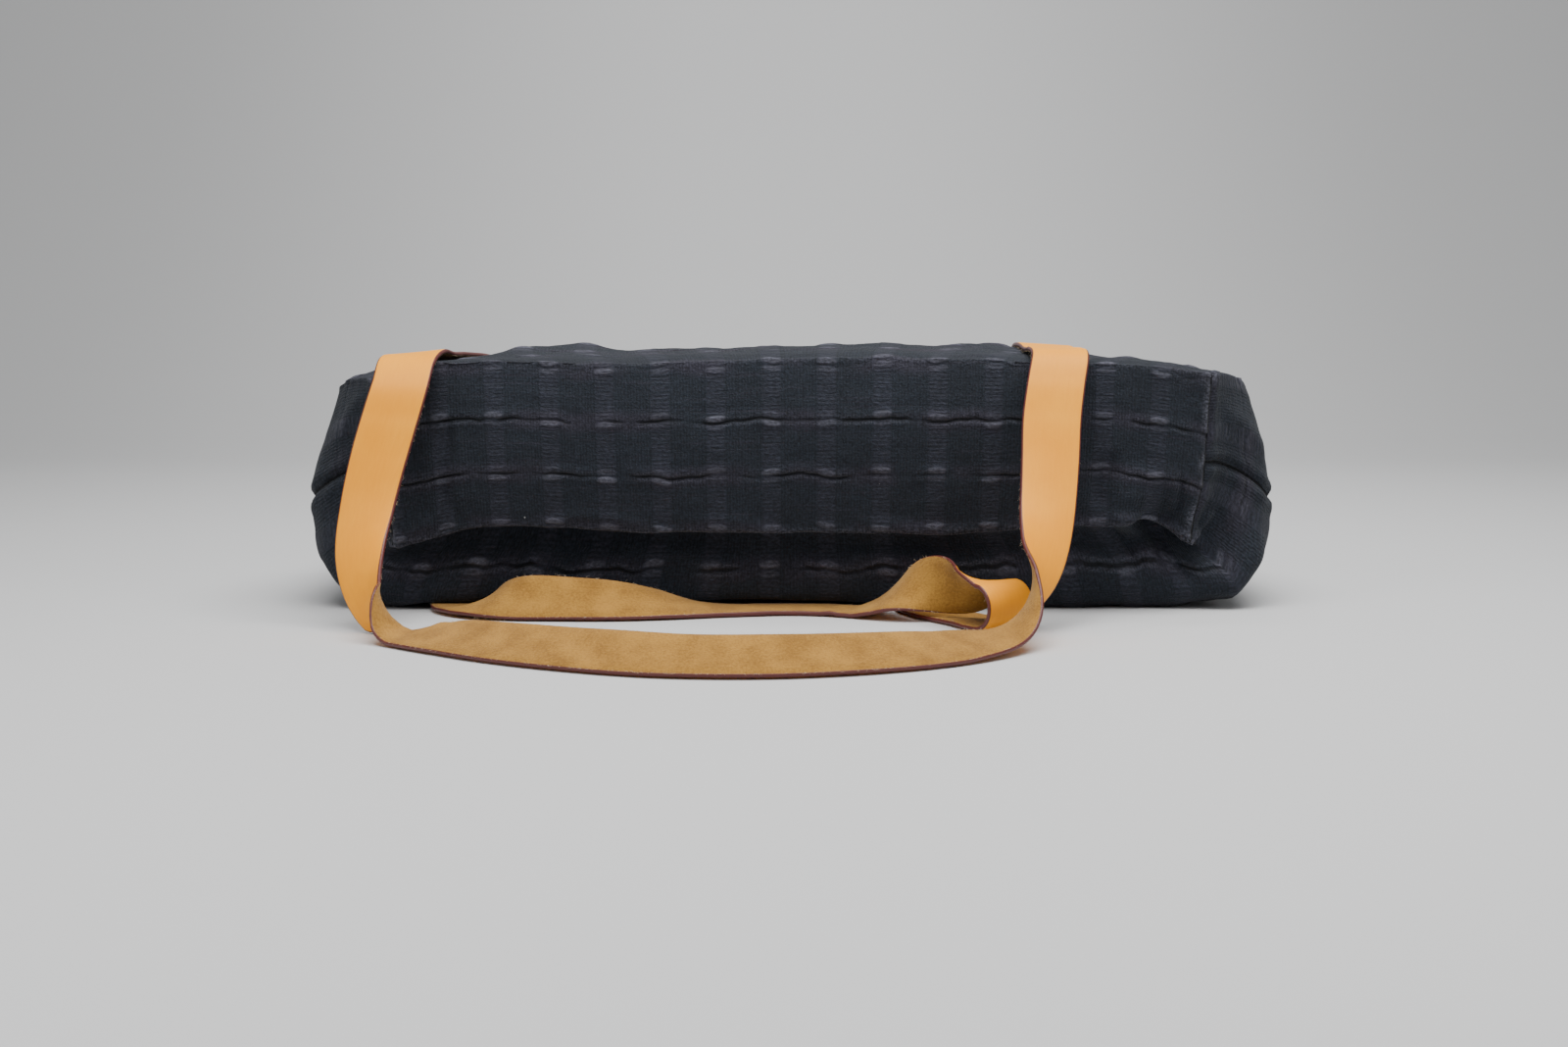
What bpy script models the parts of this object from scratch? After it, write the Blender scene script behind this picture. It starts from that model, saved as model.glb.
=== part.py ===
"""Tote bag lying on its back: boxed base to the front, open mouth behind, two long leather handles.

+X runs to the right along the base, +Y back towards the mouth, +Z up. The origin is on the floor,
on the body's centre line, in the flat patch of cloth that the bag rests on. The pieces are modelled
with y = 0 at the base panel, under an empty that stands ahead of the origin by half the body's height.
"""

import math

import bpy
import numpy as np
from mathutils import Vector
from mathutils.bvhtree import BVHTree

MM = 0.001

# Cloth body
BASE_LENGTH = 368 * MM
GUSSET = 79 * MM
BASE_LIFT = 32 * MM
BODY_HEIGHT = 275 * MM
BODY_WIDTH = 419 * MM
BODY_THICKNESS = 118 * MM
BASE_BULGE = 6 * MM
WALL = 1.6 * MM
PATCH_BACK = 0.5

# Leather handles
STRAP_WIDTH = 25 * MM
STRAP_THICKNESS = 2 * MM
HANDLE_SPACING = 236 * MM
SEWN_LENGTH = 38 * MM
LOOP_REACH = 160 * MM
UNDER_REACH = 138 * MM
CURL_RADIUS = 9.2 * MM

# Clearances
SEAT = 0.3 * MM
FLOOR_GAP = 0.4 * MM
CHANNEL_DEPTH = 3.2 * MM
CHANNEL_FLANK = 15 * MM
LIP_LIFT = 6.5 * MM
LIP_REACH = 34 * MM

# Mesh fineness. LAY_WIDTH is the share of a strap's width that is tried against the cloth.
BASE_COLUMNS = 32
BASE_ROWS = 8
OUTLINE_SAMPLES = 240
SAMPLES_PER_STATION = 5
LAY_STEPS = 9
LAY_WIDTH = 1.04
LAY_REACH = 5 * MM
THINNED_RUN = 9 * MM
THINNED_TURN = 7
SHARP_FOLD = 50

# Lengthwise sections of the body, from the base's edge to the rim. along: share of BODY_HEIGHT,
# measured on the cloth. top_back, bottom_back: how far back, shares of BODY_HEIGHT. top, bottom:
# heights, shares of BODY_THICKNESS. width: share of BODY_WIDTH. boxy: 1 square corners, 0 pillow.
SECTIONS = (
    ("along", "top_back", "bottom_back", "top", "bottom", "width", "boxy"),
    (0.000, 0.000, 0.000, 0.941, 0.271, 0.878, 1.00),
    (0.025, 0.020, 0.028, 0.958, 0.262, 0.902, 0.93),
    (0.055, 0.048, 0.048, 0.970, 0.215, 0.940, 0.82),
    (0.090, 0.082, 0.040, 0.980, 0.130, 0.984, 0.70),
    (0.125, 0.116, 0.038, 0.988, 0.050, 1.018, 0.59),
    (0.165, 0.156, 0.060, 0.995, 0.004, 1.040, 0.47),
    (0.220, 0.210, 0.113, 1.000, 0.000, 1.050, 0.35),
    (0.300, 0.288, 0.190, 0.995, 0.000, 1.050, 0.23),
    (0.400, 0.384, 0.288, 0.950, 0.000, 1.045, 0.13),
    (0.510, 0.488, 0.396, 0.860, 0.000, 1.040, 0.06),
    (0.630, 0.600, 0.514, 0.740, 0.000, 1.042, 0.02),
    (0.750, 0.712, 0.632, 0.620, 0.000, 1.048, 0.00),
    (0.870, 0.822, 0.750, 0.510, 0.000, 1.056, 0.00),
    (1.000, 0.945, 0.880, 0.420, 0.012, 1.065, 0.00),
)

# Half of a pillow section, across and up, as shares of half the width and of the thickness.
PILLOW_TOP = (
    ("across", "up"),
    (0.00, 1.000),
    (0.30, 0.990),
    (0.58, 0.940),
    (0.78, 0.830),
    (0.91, 0.660),
    (0.98, 0.480),
    (1.00, 0.350),
)
PILLOW_BOTTOM = (
    ("across", "up"),
    (0.00, 0.000),
    (0.45, 0.000),
    (0.72, 0.000),
    (0.86, 0.045),
    (0.96, 0.165),
    (1.00, 0.350),
)

# The base panel's fold lines: how far each edge wanders from straight, as shares of GUSSET. across
# runs from the left end, -1, to the right end, 1. The lower corners are drawn in by END_DRAWN_IN, a
# share of half of BASE_LENGTH, and the edges' wandering fades out over EDGE_FADE of BODY_HEIGHT.
BASE_EDGES = (
    ("across", "lower", "upper"),
    (-1.00, -0.03, -0.10),
    (-0.92, 0.00, -0.02),
    (-0.80, 0.06, 0.00),
    (-0.40, 0.05, 0.00),
    (0.00, 0.05, 0.02),
    (0.45, 0.06, 0.01),
    (0.72, 0.10, -0.01),
    (0.88, 0.05, -0.03),
    (1.00, -0.05, -0.07),
)
END_DRAWN_IN = 0.022
EDGE_FADE = 0.16

# Dents and pinches in the cloth. across, back and up place each one, as shares of half the base's
# length, of BODY_HEIGHT and of BODY_THICKNESS. reach and push are shares of GUSSET, and the push
# is along x, y and z.
DENTS = (
    ("across", "back", "up", "reach", "push_x", "push_y", "push_z"),
    (0.88, 0.010, 0.300, 0.20, 0.00, 0.12, 0.06),
    (0.80, 0.000, 0.350, 0.16, 0.00, -0.07, 0.00),
    (1.02, 0.060, 0.250, 0.26, -0.10, 0.00, 0.04),
    (-1.02, 0.070, 0.300, 0.26, 0.10, 0.00, 0.02),
    (-0.30, 0.300, 0.980, 0.80, 0.00, 0.00, -0.05),
    (0.42, 0.420, 0.920, 0.70, 0.00, 0.00, -0.06),
    (0.05, 0.650, 0.700, 0.60, 0.00, 0.00, -0.07),
)

# Rings from the base's edge to the rim, as shares of BODY_HEIGHT
RING_PLACES = (
    0.012, 0.028, 0.045, 0.065, 0.088, 0.112, 0.138, 0.168, 0.205,
    0.260, 0.330, 0.415, 0.510, 0.610, 0.710, 0.810, 0.900, 0.965, 1.0,
)

# The top handle's loop, from the left leg's rise over the base's edge to the right leg's. across:
# share of half of BASE_LENGTH. out: forward, share of LOOP_REACH. up: share of the height of the
# base's upper edge, on top of what the strap needs to rest on the floor. turn and tilt: where the
# strap's width points, in degrees round from +X and up from the floor.
FRONT_LOOP = (
    ("across", "out", "up", "turn", "tilt"),
    (-0.916, 0.030, 0.985, 180, 0),
    (-0.922, 0.086, 0.905, 180, 0),
    (-0.943, 0.123, 0.770, 179, 0),
    (-0.968, 0.154, 0.610, 177, 0),
    (-0.988, 0.192, 0.440, 170, 0),
    (-0.996, 0.250, 0.275, 155, -6),
    (-0.972, 0.335, 0.120, 134, -14),
    (-0.905, 0.450, 0.030, 112, -4),
    (-0.792, 0.590, 0.000, 88, 12),
    (-0.638, 0.745, 0.000, 72, 24),
    (-0.450, 0.880, 0.000, 74, 28),
    (-0.245, 0.965, 0.000, 84, 28),
    (-0.030, 0.970, 0.000, 96, 28),
    (0.180, 0.895, 0.000, 110, 25),
    (0.350, 0.765, 0.005, 120, 17),
    (0.466, 0.605, 0.050, 110, 2),
    (0.534, 0.450, 0.150, 76, -10),
    (0.568, 0.325, 0.300, 38, -6),
    (0.585, 0.240, 0.460, 15, 0),
    (0.596, 0.178, 0.620, 4, 0),
    (0.604, 0.128, 0.780, 0, 0),
    (0.618, 0.084, 0.915, 0, 0),
    (0.632, 0.030, 1.010, 0, 0),
)

# The under handle's lie in front of the bag, in the same columns, but that out is a share of
# UNDER_REACH and lift a share of STRAP_WIDTH.
UNDER_LOOP = (
    ("across", "out", "lift", "turn", "tilt"),
    (-0.812, -0.260, 0.00, 0, 0),
    (-0.817, -0.140, 0.00, 3, 0),
    (-0.806, -0.045, 0.00, 10, 0),
    (-0.765, 0.035, 0.00, 30, 14),
    (-0.675, 0.100, 0.00, 56, 36),
    (-0.540, 0.120, 0.00, 76, 38),
    (-0.425, 0.115, 0.00, 92, 33),
    (-0.315, 0.082, 0.00, 106, 21),
    (-0.210, 0.034, 0.00, 108, 5),
    (-0.110, -0.002, 0.00, 104, 0),
    (-0.010, -0.022, 0.00, 95, 0),
    (0.080, -0.005, 0.00, 84, 0),
    (0.145, 0.030, 0.01, 76, 0),
    (0.200, 0.075, 0.07, 68, 12),
    (0.250, 0.118, 0.12, 60, 34),
    (0.318, 0.165, 0.14, 50, 72),
    (0.400, 0.260, 0.18, 42, 122),
)

# Where the top handle's legs lie on the body, from the rim to the base's upper edge: back is a share
# of the way to the rim, and lift, in strap thicknesses, how far the leather stands off the cloth.
TOP_LIE = (
    ("back", "lift"),
    (0.930, 2.2),
    (0.880, 1.3),
    (0.820, 0.5),
    (0.750, 0.1),
    (0.680, 0.0),
    (0.610, 0.0),
    (0.540, 0.0),
    (0.470, 0.0),
    (0.400, 0.0),
    (0.330, 0.0),
    (0.260, 0.0),
    (0.200, 0.1),
    (0.145, 0.3),
    (0.095, 0.6),
    (0.050, 1.0),
)

# The handles' turns round the rim: how far each stands out behind, as a share of BODY_HEIGHT, where
# the sewn end stops short of the rim, and how far the leather then keeps off the cloth's edge. The
# cloth is looked at from inside the mouth at MOUTH_EYE of BODY_THICKNESS.
TOP_BEND = 0.030
UNDER_BEND = 0.018
RIM_STEP = 3.3 * MM
RIM_CLEAR = 0.9 * MM
MOUTH_EYE = 0.2

# The under handle's turn back under itself: its place, across as a share of half the base's length
# and out as a share of UNDER_REACH, and the way that its axis points, in degrees round from +X.
CURL_PLACE = (0.462, 0.345)
CURL_TURN = 37
CURL_STEPS = 8

# The under handle's way back from the curl, flat on the floor: across and back, as shares of half
# the base's length and of BODY_HEIGHT.
UNDER_RETURN = (
    ("across", "back"),
    (0.408, -0.105),
    (0.350, -0.045),
    (0.310, 0.030),
    (0.298, 0.120),
    (0.320, 0.250),
    (0.378, 0.390),
    (0.462, 0.520),
    (0.550, 0.630),
    (0.612, 0.730),
    (0.638, 0.820),
)


def table(rows):
    """A table's columns, by name."""
    names, *values = rows
    return {name: np.array(column, dtype=float) for name, column in zip(names, zip(*values))}


def smooth(at, knots, values):
    """A smooth curve through the knots, read at the places asked for."""
    at, knots, values = np.asarray(at, float), np.asarray(knots, float), np.asarray(values, float)
    slopes = np.gradient(values, knots)
    left = np.clip(np.searchsorted(knots, at, side="right") - 1, 0, len(knots) - 2)
    span = knots[left + 1] - knots[left]
    t = np.clip((at - knots[left]) / span, 0.0, 1.0)
    start = (2 * t**3 - 3 * t**2 + 1) * values[left] + (t**3 - 2 * t**2 + t) * span * slopes[left]
    end = (3 * t**2 - 2 * t**3) * values[left + 1] + (t**3 - t**2) * span * slopes[left + 1]
    return start + end


def eased(value):
    value = np.clip(value, 0.0, 1.0)
    return value * value * (3 - 2 * value)


def pillow(rows, share):
    """Across and up on a pillow outline, at a share of its length from the centre to the seam."""
    outline = table(rows)
    steps = np.arange(len(outline["across"]))
    fine = np.linspace(0, steps[-1], OUTLINE_SAMPLES)
    across, up = smooth(fine, steps, outline["across"]), smooth(fine, steps, outline["up"])
    pieces = np.hypot(np.diff(across) * BODY_WIDTH / 2, np.diff(up) * BODY_THICKNESS)
    length = np.concatenate(([0], np.cumsum(pieces)))
    length /= length[-1]
    return np.interp(share, length, across), np.interp(share, length, up)


def boxed(share, upper):
    """Across and up on a square-cornered outline, at a share of its length."""
    corner = BASE_LENGTH / (BASE_LENGTH + GUSSET)
    across = np.minimum(share / corner, 1.0)
    fall = 0.5 * np.maximum(share - corner, 0.0) / (1 - corner)
    return across, np.where(upper, 1 - fall, fall)


def body_points(side, upper, share, along):
    """Points of the body's outer face. side is -1 or 1, upper tells the front panel from the back
    one, share runs from the centre line to the side seam, and along from the base to the rim."""
    sections = table(SECTIONS)
    read = {name: smooth(along, sections["along"], sections[name]) for name in sections}
    top_across, top_up = pillow(PILLOW_TOP, share)
    low_across, low_up = pillow(PILLOW_BOTTOM, share)
    soft_across, soft_up = np.where(upper, top_across, low_across), np.where(upper, top_up, low_up)
    box_across, box_up = boxed(share, upper)
    boxy = read["boxy"]
    across = boxy * box_across + (1 - boxy) * soft_across
    up = boxy * box_up + (1 - boxy) * soft_up
    x = side * across * read["width"] * BODY_WIDTH / 2
    y = (read["bottom_back"] + (read["top_back"] - read["bottom_back"]) * up) * BODY_HEIGHT
    z = (read["bottom"] + (read["top"] - read["bottom"]) * up) * BODY_THICKNESS
    return np.stack([x, y, z], axis=-1)


def base_points(across, up):
    """Points of the base panel: across from -1 to 1, up from its lower fold to its upper one."""
    edges = table(BASE_EDGES)
    lower = smooth(across, edges["across"], edges["lower"]) * GUSSET
    upper = smooth(across, edges["across"], edges["upper"]) * GUSSET
    x = across * BASE_LENGTH / 2 * (1 - END_DRAWN_IN * (1 - up))
    y = -BASE_BULGE * (1 - across**4) * (1 - (2 * up - 1) ** 2)
    z = BASE_LIFT + lower + (GUSSET + upper - lower) * up
    return np.stack([x, y, z], axis=-1)


def dented(points):
    dents = table(DENTS)
    scale = np.array([BASE_LENGTH / 2, BODY_HEIGHT, BODY_THICKNESS])
    result = points.copy()
    for row in range(len(dents["reach"])):
        place = np.array([dents[name][row] for name in ("across", "back", "up")]) * scale
        push = np.array([dents[name][row] for name in ("push_x", "push_y", "push_z")]) * GUSSET
        near = np.linalg.norm(points - place, axis=-1) / (dents["reach"][row] * GUSSET)
        result += np.exp(-near**2)[..., None] * push
    return result


def rim_place(upper):
    """The rim's distance back where a handle goes over it."""
    return SECTIONS[-1][1 if upper else 2] * BODY_HEIGHT


def under_route():
    """The floor line of the under handle's hidden runs, as pairs of x and y."""
    loop, back = table(UNDER_LOOP), table(UNDER_RETURN)
    half = BASE_LENGTH / 2
    rear = rim_place(False) + LIP_REACH
    left = [(-HANDLE_SPACING / 2, rear)]
    left += [(across * half, -out * UNDER_REACH) for across, out in zip(loop["across"], loop["out"])]
    right = [(across * half, y * BODY_HEIGHT) for across, y in zip(back["across"], back["back"])]
    right += [(HANDLE_SPACING / 2, rear)]
    return [np.array(left), np.array(right)]


def distance_to(line, x, y):
    """The distance from points on the floor to a line of straight runs."""
    best = np.full(np.shape(x), np.inf)
    for (x0, y0), (x1, y1) in zip(line[:-1], line[1:]):
        run = np.hypot(x1 - x0, y1 - y0)
        t = np.clip(((x - x0) * (x1 - x0) + (y - y0) * (y1 - y0)) / run**2, 0, 1)
        best = np.minimum(best, np.hypot(x - x0 - t * (x1 - x0), y - y0 - t * (y1 - y0)))
    return best


def laid_over_strap(points):
    """Lifts the cloth's underside where the under handle runs beneath it."""
    reach = np.minimum(*(distance_to(line, points[..., 0], points[..., 1]) for line in under_route()))
    flat = STRAP_WIDTH / 2 + BODY_WIDTH / BASE_COLUMNS
    near_lip = eased(1 - (rim_place(False) - points[..., 1]) / LIP_REACH)
    depth = CHANNEL_DEPTH + (LIP_LIFT - CHANNEL_DEPTH) * near_lip
    raised = depth * (1 - eased((reach - flat) / CHANNEL_FLANK))
    result = points.copy()
    result[..., 2] = np.maximum(points[..., 2], raised)
    return result


def body_surface(columns, rows, rings):
    """The open outer face of the body: its points and its quads. The base panel is a grid, and the
    rings that follow its border run back to the rim."""
    across, up = np.meshgrid(np.linspace(-1, 1, columns + 1), np.linspace(0, 1, rows + 1), indexing="ij")
    base = base_points(across, up)
    border = [(columns, j) for j in range(rows + 1)]
    border += [(i, rows) for i in range(columns - 1, -1, -1)]
    border += [(0, j) for j in range(rows - 1, -1, -1)]
    border += [(i, 0) for i in range(1, columns)]
    a = np.array([across[i, j] for i, j in border])
    b = np.array([up[i, j] for i, j in border])
    on_end = np.abs(a) > 1 - 1e-9
    upper = b >= 0.5
    down = np.where(upper, 1 - b, b) * GUSSET
    share = (np.abs(a) * BASE_LENGTH / 2 + np.where(on_end, down, 0)) / (BASE_LENGTH / 2 + GUSSET / 2)
    side = np.where(a < 0, -1.0, 1.0)

    start = body_points(side, upper, share, np.zeros(len(a)))
    edge = np.array([base[i, j] for i, j in border])
    points = [base.reshape(-1, 3)]
    for along in rings:
        ring = body_points(side, upper, share, np.full(len(a), along))
        ring += (edge - start) * (1 - eased(along / EDGE_FADE))
        points.append(ring)
    points = laid_over_strap(dented(np.concatenate(points)))

    def base_index(i, j):
        return i * (rows + 1) + j

    loops = [[base_index(i, j) for i, j in border]]
    first = (columns + 1) * (rows + 1)
    for ring in range(len(rings)):
        loops.append([first + ring * len(border) + n for n in range(len(border))])
    quads = [
        (base_index(i, j), base_index(i + 1, j), base_index(i + 1, j + 1), base_index(i, j + 1))
        for i in range(columns)
        for j in range(rows)
    ]
    for near, far in zip(loops[:-1], loops[1:]):
        for n in range(len(near)):
            after = (n + 1) % len(near)
            quads.append((near[n], far[n], far[after], near[after]))
    return points, quads


def material(name, colour, roughness):
    made = bpy.data.materials.new(name)
    made.use_nodes = True
    shader = made.node_tree.nodes["Principled BSDF"]
    shader.inputs["Base Color"].default_value = (*colour, 1.0)
    shader.inputs["Roughness"].default_value = roughness
    shader.inputs["Metallic"].default_value = 0.0
    return made


def add_sheet(name, points, quads, thickness, offset, finish):
    """An open sheet thickened to a closed solid."""
    mesh = bpy.data.meshes.new(name)
    mesh.from_pydata([tuple(point) for point in points], [], quads)
    mesh.validate()
    mesh.shade_smooth()
    mesh.set_sharp_from_angle(angle=math.radians(SHARP_FOLD))
    mesh.materials.append(finish)
    made = bpy.data.objects.new(name, mesh)
    collection.objects.link(made)
    solidify = made.modifiers.new("wall", "SOLIDIFY")
    solidify.thickness = thickness
    solidify.offset = offset
    solidify.use_even_offset = True
    return made


def make_body():
    points, quads = body_surface(BASE_COLUMNS, BASE_ROWS, RING_PLACES)
    cloth = material("dark_blue_cloth", (0.018, 0.022, 0.032), 0.9)
    return add_sheet("bag_body", points, quads, WALL, -1.0, cloth)


class Surface:
    """The body's finished solid, for laying the handles on and in it."""

    def __init__(self, body):
        bpy.context.view_layer.update()
        self.tree = BVHTree.FromObject(body, bpy.context.evaluated_depsgraph_get())

    def hit(self, x, y, z, way):
        place, _, _, _ = self.tree.ray_cast(Vector((x, y, z)), Vector((0, 0, way)))
        return None if place is None else place.z

    def across(self, x, y, z, way):
        """Heights of the cloth across a strap's width, seen from inside or outside: at each place
        the one that reaches furthest towards the strap, a little before and behind it too."""
        offsets = np.linspace(-LAY_WIDTH, LAY_WIDTH, LAY_STEPS) * STRAP_WIDTH / 2
        heights = []
        for offset in offsets:
            hits = [self.hit(x + offset, y + along, z, way) for along in (-LAY_REACH, 0.0, LAY_REACH)]
            hits = [hit for hit in hits if hit is not None]
            heights.append(min(hits) if way > 0 else max(hits))
        return offsets, np.array(heights)


def width_vector(turn, tilt):
    turn, tilt = math.radians(turn), math.radians(tilt)
    return Vector((math.cos(tilt) * math.cos(turn), math.cos(tilt) * math.sin(turn), math.sin(tilt)))


def resting_height(tilt):
    """The height of a strap's middle when its lower edge rests on the floor."""
    tilt = math.radians(tilt)
    return FLOOR_GAP + STRAP_WIDTH / 2 * abs(math.sin(tilt)) + STRAP_THICKNESS / 2 * abs(math.cos(tilt))


def lay(surface, place, eye, way, gap, sign):
    """A station of a strap lying against the cloth. way is -1 where it lies on top of the cloth,
    seen from above, and 1 where it lies beneath. eye is the height that the cloth is seen from, and
    sign is the way that the strap's width points along X."""
    x, y = place
    offsets, heights = surface.across(x, y, eye, way)
    slope = (heights[-1] - heights[0]) / (offsets[-1] - offsets[0])
    level = heights - slope * offsets
    touch = level.max() if way < 0 else level.min()
    away = (gap + STRAP_THICKNESS / 2) * math.hypot(1, slope)
    return Vector((x, y, touch - way * away)), Vector((sign, 0, sign * slope)).normalized()


def ribbon(name, stations, finish):
    """A strap through its stations, each a middle point and the way that its width points."""
    centres = np.array([tuple(place) for place, _ in stations])
    widths = np.array([tuple(width) for _, width in stations])
    steps = np.concatenate(([0], np.cumsum(np.linalg.norm(np.diff(centres, axis=0), axis=1))))
    at = np.concatenate(
        [np.linspace(a, b, SAMPLES_PER_STATION, endpoint=False) for a, b in zip(steps[:-1], steps[1:])]
        + [[steps[-1]]]
    )
    path = np.stack([smooth(at, steps, centres[:, axis]) for axis in range(3)], axis=-1)
    wide = np.stack([smooth(at, steps, widths[:, axis]) for axis in range(3)], axis=-1)
    run = np.gradient(path, axis=0)
    run /= np.linalg.norm(run, axis=1)[:, None]
    wide -= np.sum(wide * run, axis=1)[:, None] * run
    wide /= np.linalg.norm(wide, axis=1)[:, None]
    below = STRAP_WIDTH / 2 * np.abs(wide[:, 2]) + STRAP_THICKNESS / 2 * np.abs(np.cross(wide, run)[:, 2])
    path[:, 2] = np.maximum(path[:, 2], below + FLOOR_GAP)
    keep = np.ones(len(at), bool)
    keep[1:-1] = thinned(path)[1:-1]
    path, wide = path[keep], wide[keep]
    shares = (-0.5, 0.0, 0.5)
    points = np.concatenate([path + share * STRAP_WIDTH * wide for share in shares])
    count = len(path)
    quads = [
        (row * count + n, row * count + n + 1, (row + 1) * count + n + 1, (row + 1) * count + n)
        for row in range(len(shares) - 1)
        for n in range(count - 1)
    ]
    return add_sheet(name, points, quads, STRAP_THICKNESS, 0.0, finish)


def thinned(path):
    """Which samples of a path to keep: all in its bends, and one every so often where straight."""
    keep, last = [True], 0
    for n in range(1, len(path) - 1):
        before, after = path[n] - path[last], path[n + 1] - path[n]
        run = np.linalg.norm(before)
        turned = math.degrees(math.acos(np.clip(before @ after / run / np.linalg.norm(after), -1, 1)))
        take = run > THINNED_RUN or turned > THINNED_TURN
        keep.append(take)
        last = n if take else last
    return np.array(keep + [True])


def sewn_end(surface, side, upper):
    """The sewn end inside the mouth, from the strap's end out to the rim."""
    x = side * HANDLE_SPACING / 2
    sign = side if upper else -side
    way = 1 if upper else -1
    rim = rim_place(upper) - RIM_STEP
    stations = []
    for share in (1.0, 0.75, 0.5, 0.25, 0.0):
        eye = MOUTH_EYE * BODY_THICKNESS
        flesh = lay(surface, (x, rim - share * SEWN_LENGTH), eye, way, SEAT, sign)
        stations.append(flesh)
    (before, _), (last, width) = stations[-2:]
    step = (last - before).normalized() * 2 * RIM_STEP
    stations.append((last + step - Vector((0, 0, way * RIM_CLEAR)), width))
    return stations


def bend(start, end, width, reach):
    """A strap's turn back round the rim, from one middle point to another above or below it."""
    middle, half = (start + end) / 2, (end - start) / 2
    turn = []
    for degrees in (30, 60, 90, 120, 150):
        angle = math.radians(degrees)
        turn.append((middle - half * math.cos(angle) + Vector((0, reach * math.sin(angle), 0)), width))
    return turn


def top_leg(surface, side, row):
    """A top handle's leg from its sewn end to the base's upper edge, where the loop's table starts."""
    loop, lie = table(FRONT_LOOP), table(TOP_LIE)
    end_x = loop["across"][row] * BASE_LENGTH / 2
    start_x = side * HANDLE_SPACING / 2
    rim = rim_place(True)
    over = []
    for back, lift in zip(lie["back"], lie["lift"]):
        place = (end_x + (start_x - end_x) * back, back * rim)
        over.append(lay(surface, place, 2 * BODY_THICKNESS, -1, SEAT + lift * STRAP_THICKNESS, side))
    leg = sewn_end(surface, side, True)
    start = leg[-1][0]
    end = Vector((start.x, start.y, over[0][0].z + 0.5 * STRAP_THICKNESS))
    return leg + bend(start, end, over[0][1], TOP_BEND * BODY_HEIGHT) + over


def make_top_handle(surface, finish):
    loop = table(FRONT_LOOP)
    edge = BASE_LIFT + GUSSET
    front = []
    for row in range(len(loop["across"])):
        place = Vector((
            loop["across"][row] * BASE_LENGTH / 2,
            -loop["out"][row] * LOOP_REACH,
            resting_height(loop["tilt"][row]) + loop["up"][row] * edge,
        ))
        front.append((place, width_vector(loop["turn"][row], loop["tilt"][row])))
    left, right = top_leg(surface, -1, 0), top_leg(surface, 1, -1)
    return ribbon("top_handle", left + front + right[::-1], finish)


def curl():
    """The small turn back under itself near the under handle's right end."""
    width = -width_vector(CURL_TURN, 0)
    run = Vector((-width.y, width.x, 0))
    top = Vector((CURL_PLACE[0] * BASE_LENGTH / 2, -CURL_PLACE[1] * UNDER_REACH, 0))
    low = resting_height(0)
    stations = []
    for step in range(CURL_STEPS + 1):
        angle = math.pi * step / CURL_STEPS
        out = run * (CURL_RADIUS * math.sin(angle))
        height = low + CURL_RADIUS * (1 + math.cos(angle))
        stations.append((top + out + Vector((0, 0, height)), width))
    return stations


def under_leg(surface, side):
    """An under handle's sewn end inside the mouth and its bend down round the rim to the floor."""
    leg = sewn_end(surface, side, False)
    start, width = leg[-1]
    end = Vector((start.x, start.y, resting_height(0)))
    return leg + bend(start, end, width, UNDER_BEND * BODY_HEIGHT) + [(end, Vector((-side, 0, 0)))]


def make_under_handle(surface, finish):
    loop, back = table(UNDER_LOOP), table(UNDER_RETURN)
    half = BASE_LENGTH / 2
    left, right = under_leg(surface, -1), under_leg(surface, 1)
    low = resting_height(0)
    start = left[-1][0]
    end = Vector((loop["across"][0] * half, -loop["out"][0] * UNDER_REACH, low))
    lane = [(start.lerp(end, share), Vector((1, 0, 0))) for share in (0.2, 0.4, 0.6, 0.8)]
    front = []
    for row in range(len(loop["across"])):
        height = resting_height(loop["tilt"][row]) + loop["lift"][row] * STRAP_WIDTH
        place = Vector((loop["across"][row] * half, -loop["out"][row] * UNDER_REACH, height))
        front.append((place, width_vector(loop["turn"][row], loop["tilt"][row])))
    turned = curl()
    returning = []
    places = [turned[-1][0]]
    places += [Vector((x * half, y * BODY_HEIGHT, low)) for x, y in zip(back["across"], back["back"])]
    places.append(right[-1][0])
    for before, place, after in zip(places[:-2], places[1:-1], places[2:]):
        run = after - before
        returning.append((place, Vector((-run.y, run.x, 0)).normalized()))
    return ribbon("under_handle", left + lane + front + turned + returning + right[::-1], finish)


def stand_on_patch(pieces):
    """Hangs the pieces under one empty, which sets the origin in the flat patch."""
    frame = bpy.data.objects.new("bag_frame", None)
    collection.objects.link(frame)
    frame.location.y = -PATCH_BACK * BODY_HEIGHT
    for piece in pieces:
        piece.parent = frame


for old in list(bpy.data.objects):
    bpy.data.objects.remove(old, do_unlink=True)
collection = bpy.data.collections.new("tote_bag")
bpy.context.scene.collection.children.link(collection)

leather = material("tan_leather", (0.62, 0.33, 0.12), 0.45)
body = make_body()
cloth_face = Surface(body)
top_handle = make_top_handle(cloth_face, leather)
under_handle = make_under_handle(cloth_face, leather)
stand_on_patch([body, top_handle, under_handle])
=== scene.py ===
"""Tote bag on its back, dressed for the photograph: crinkled dark windowpane cloth and tan leather
handles, over the frame from part.py, whose tables and shaping functions this script repeats.

+X right, +Y back, +Z up, in metres. Shapes are worked out with y = 0 at the base panel, and
add_mesh sets them back by PATCH_BACK of BODY_HEIGHT into the frame.
"""

import math

import bpy
import numpy as np
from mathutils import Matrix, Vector, noise
from mathutils.bvhtree import BVHTree
from mathutils.kdtree import KDTree


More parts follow.
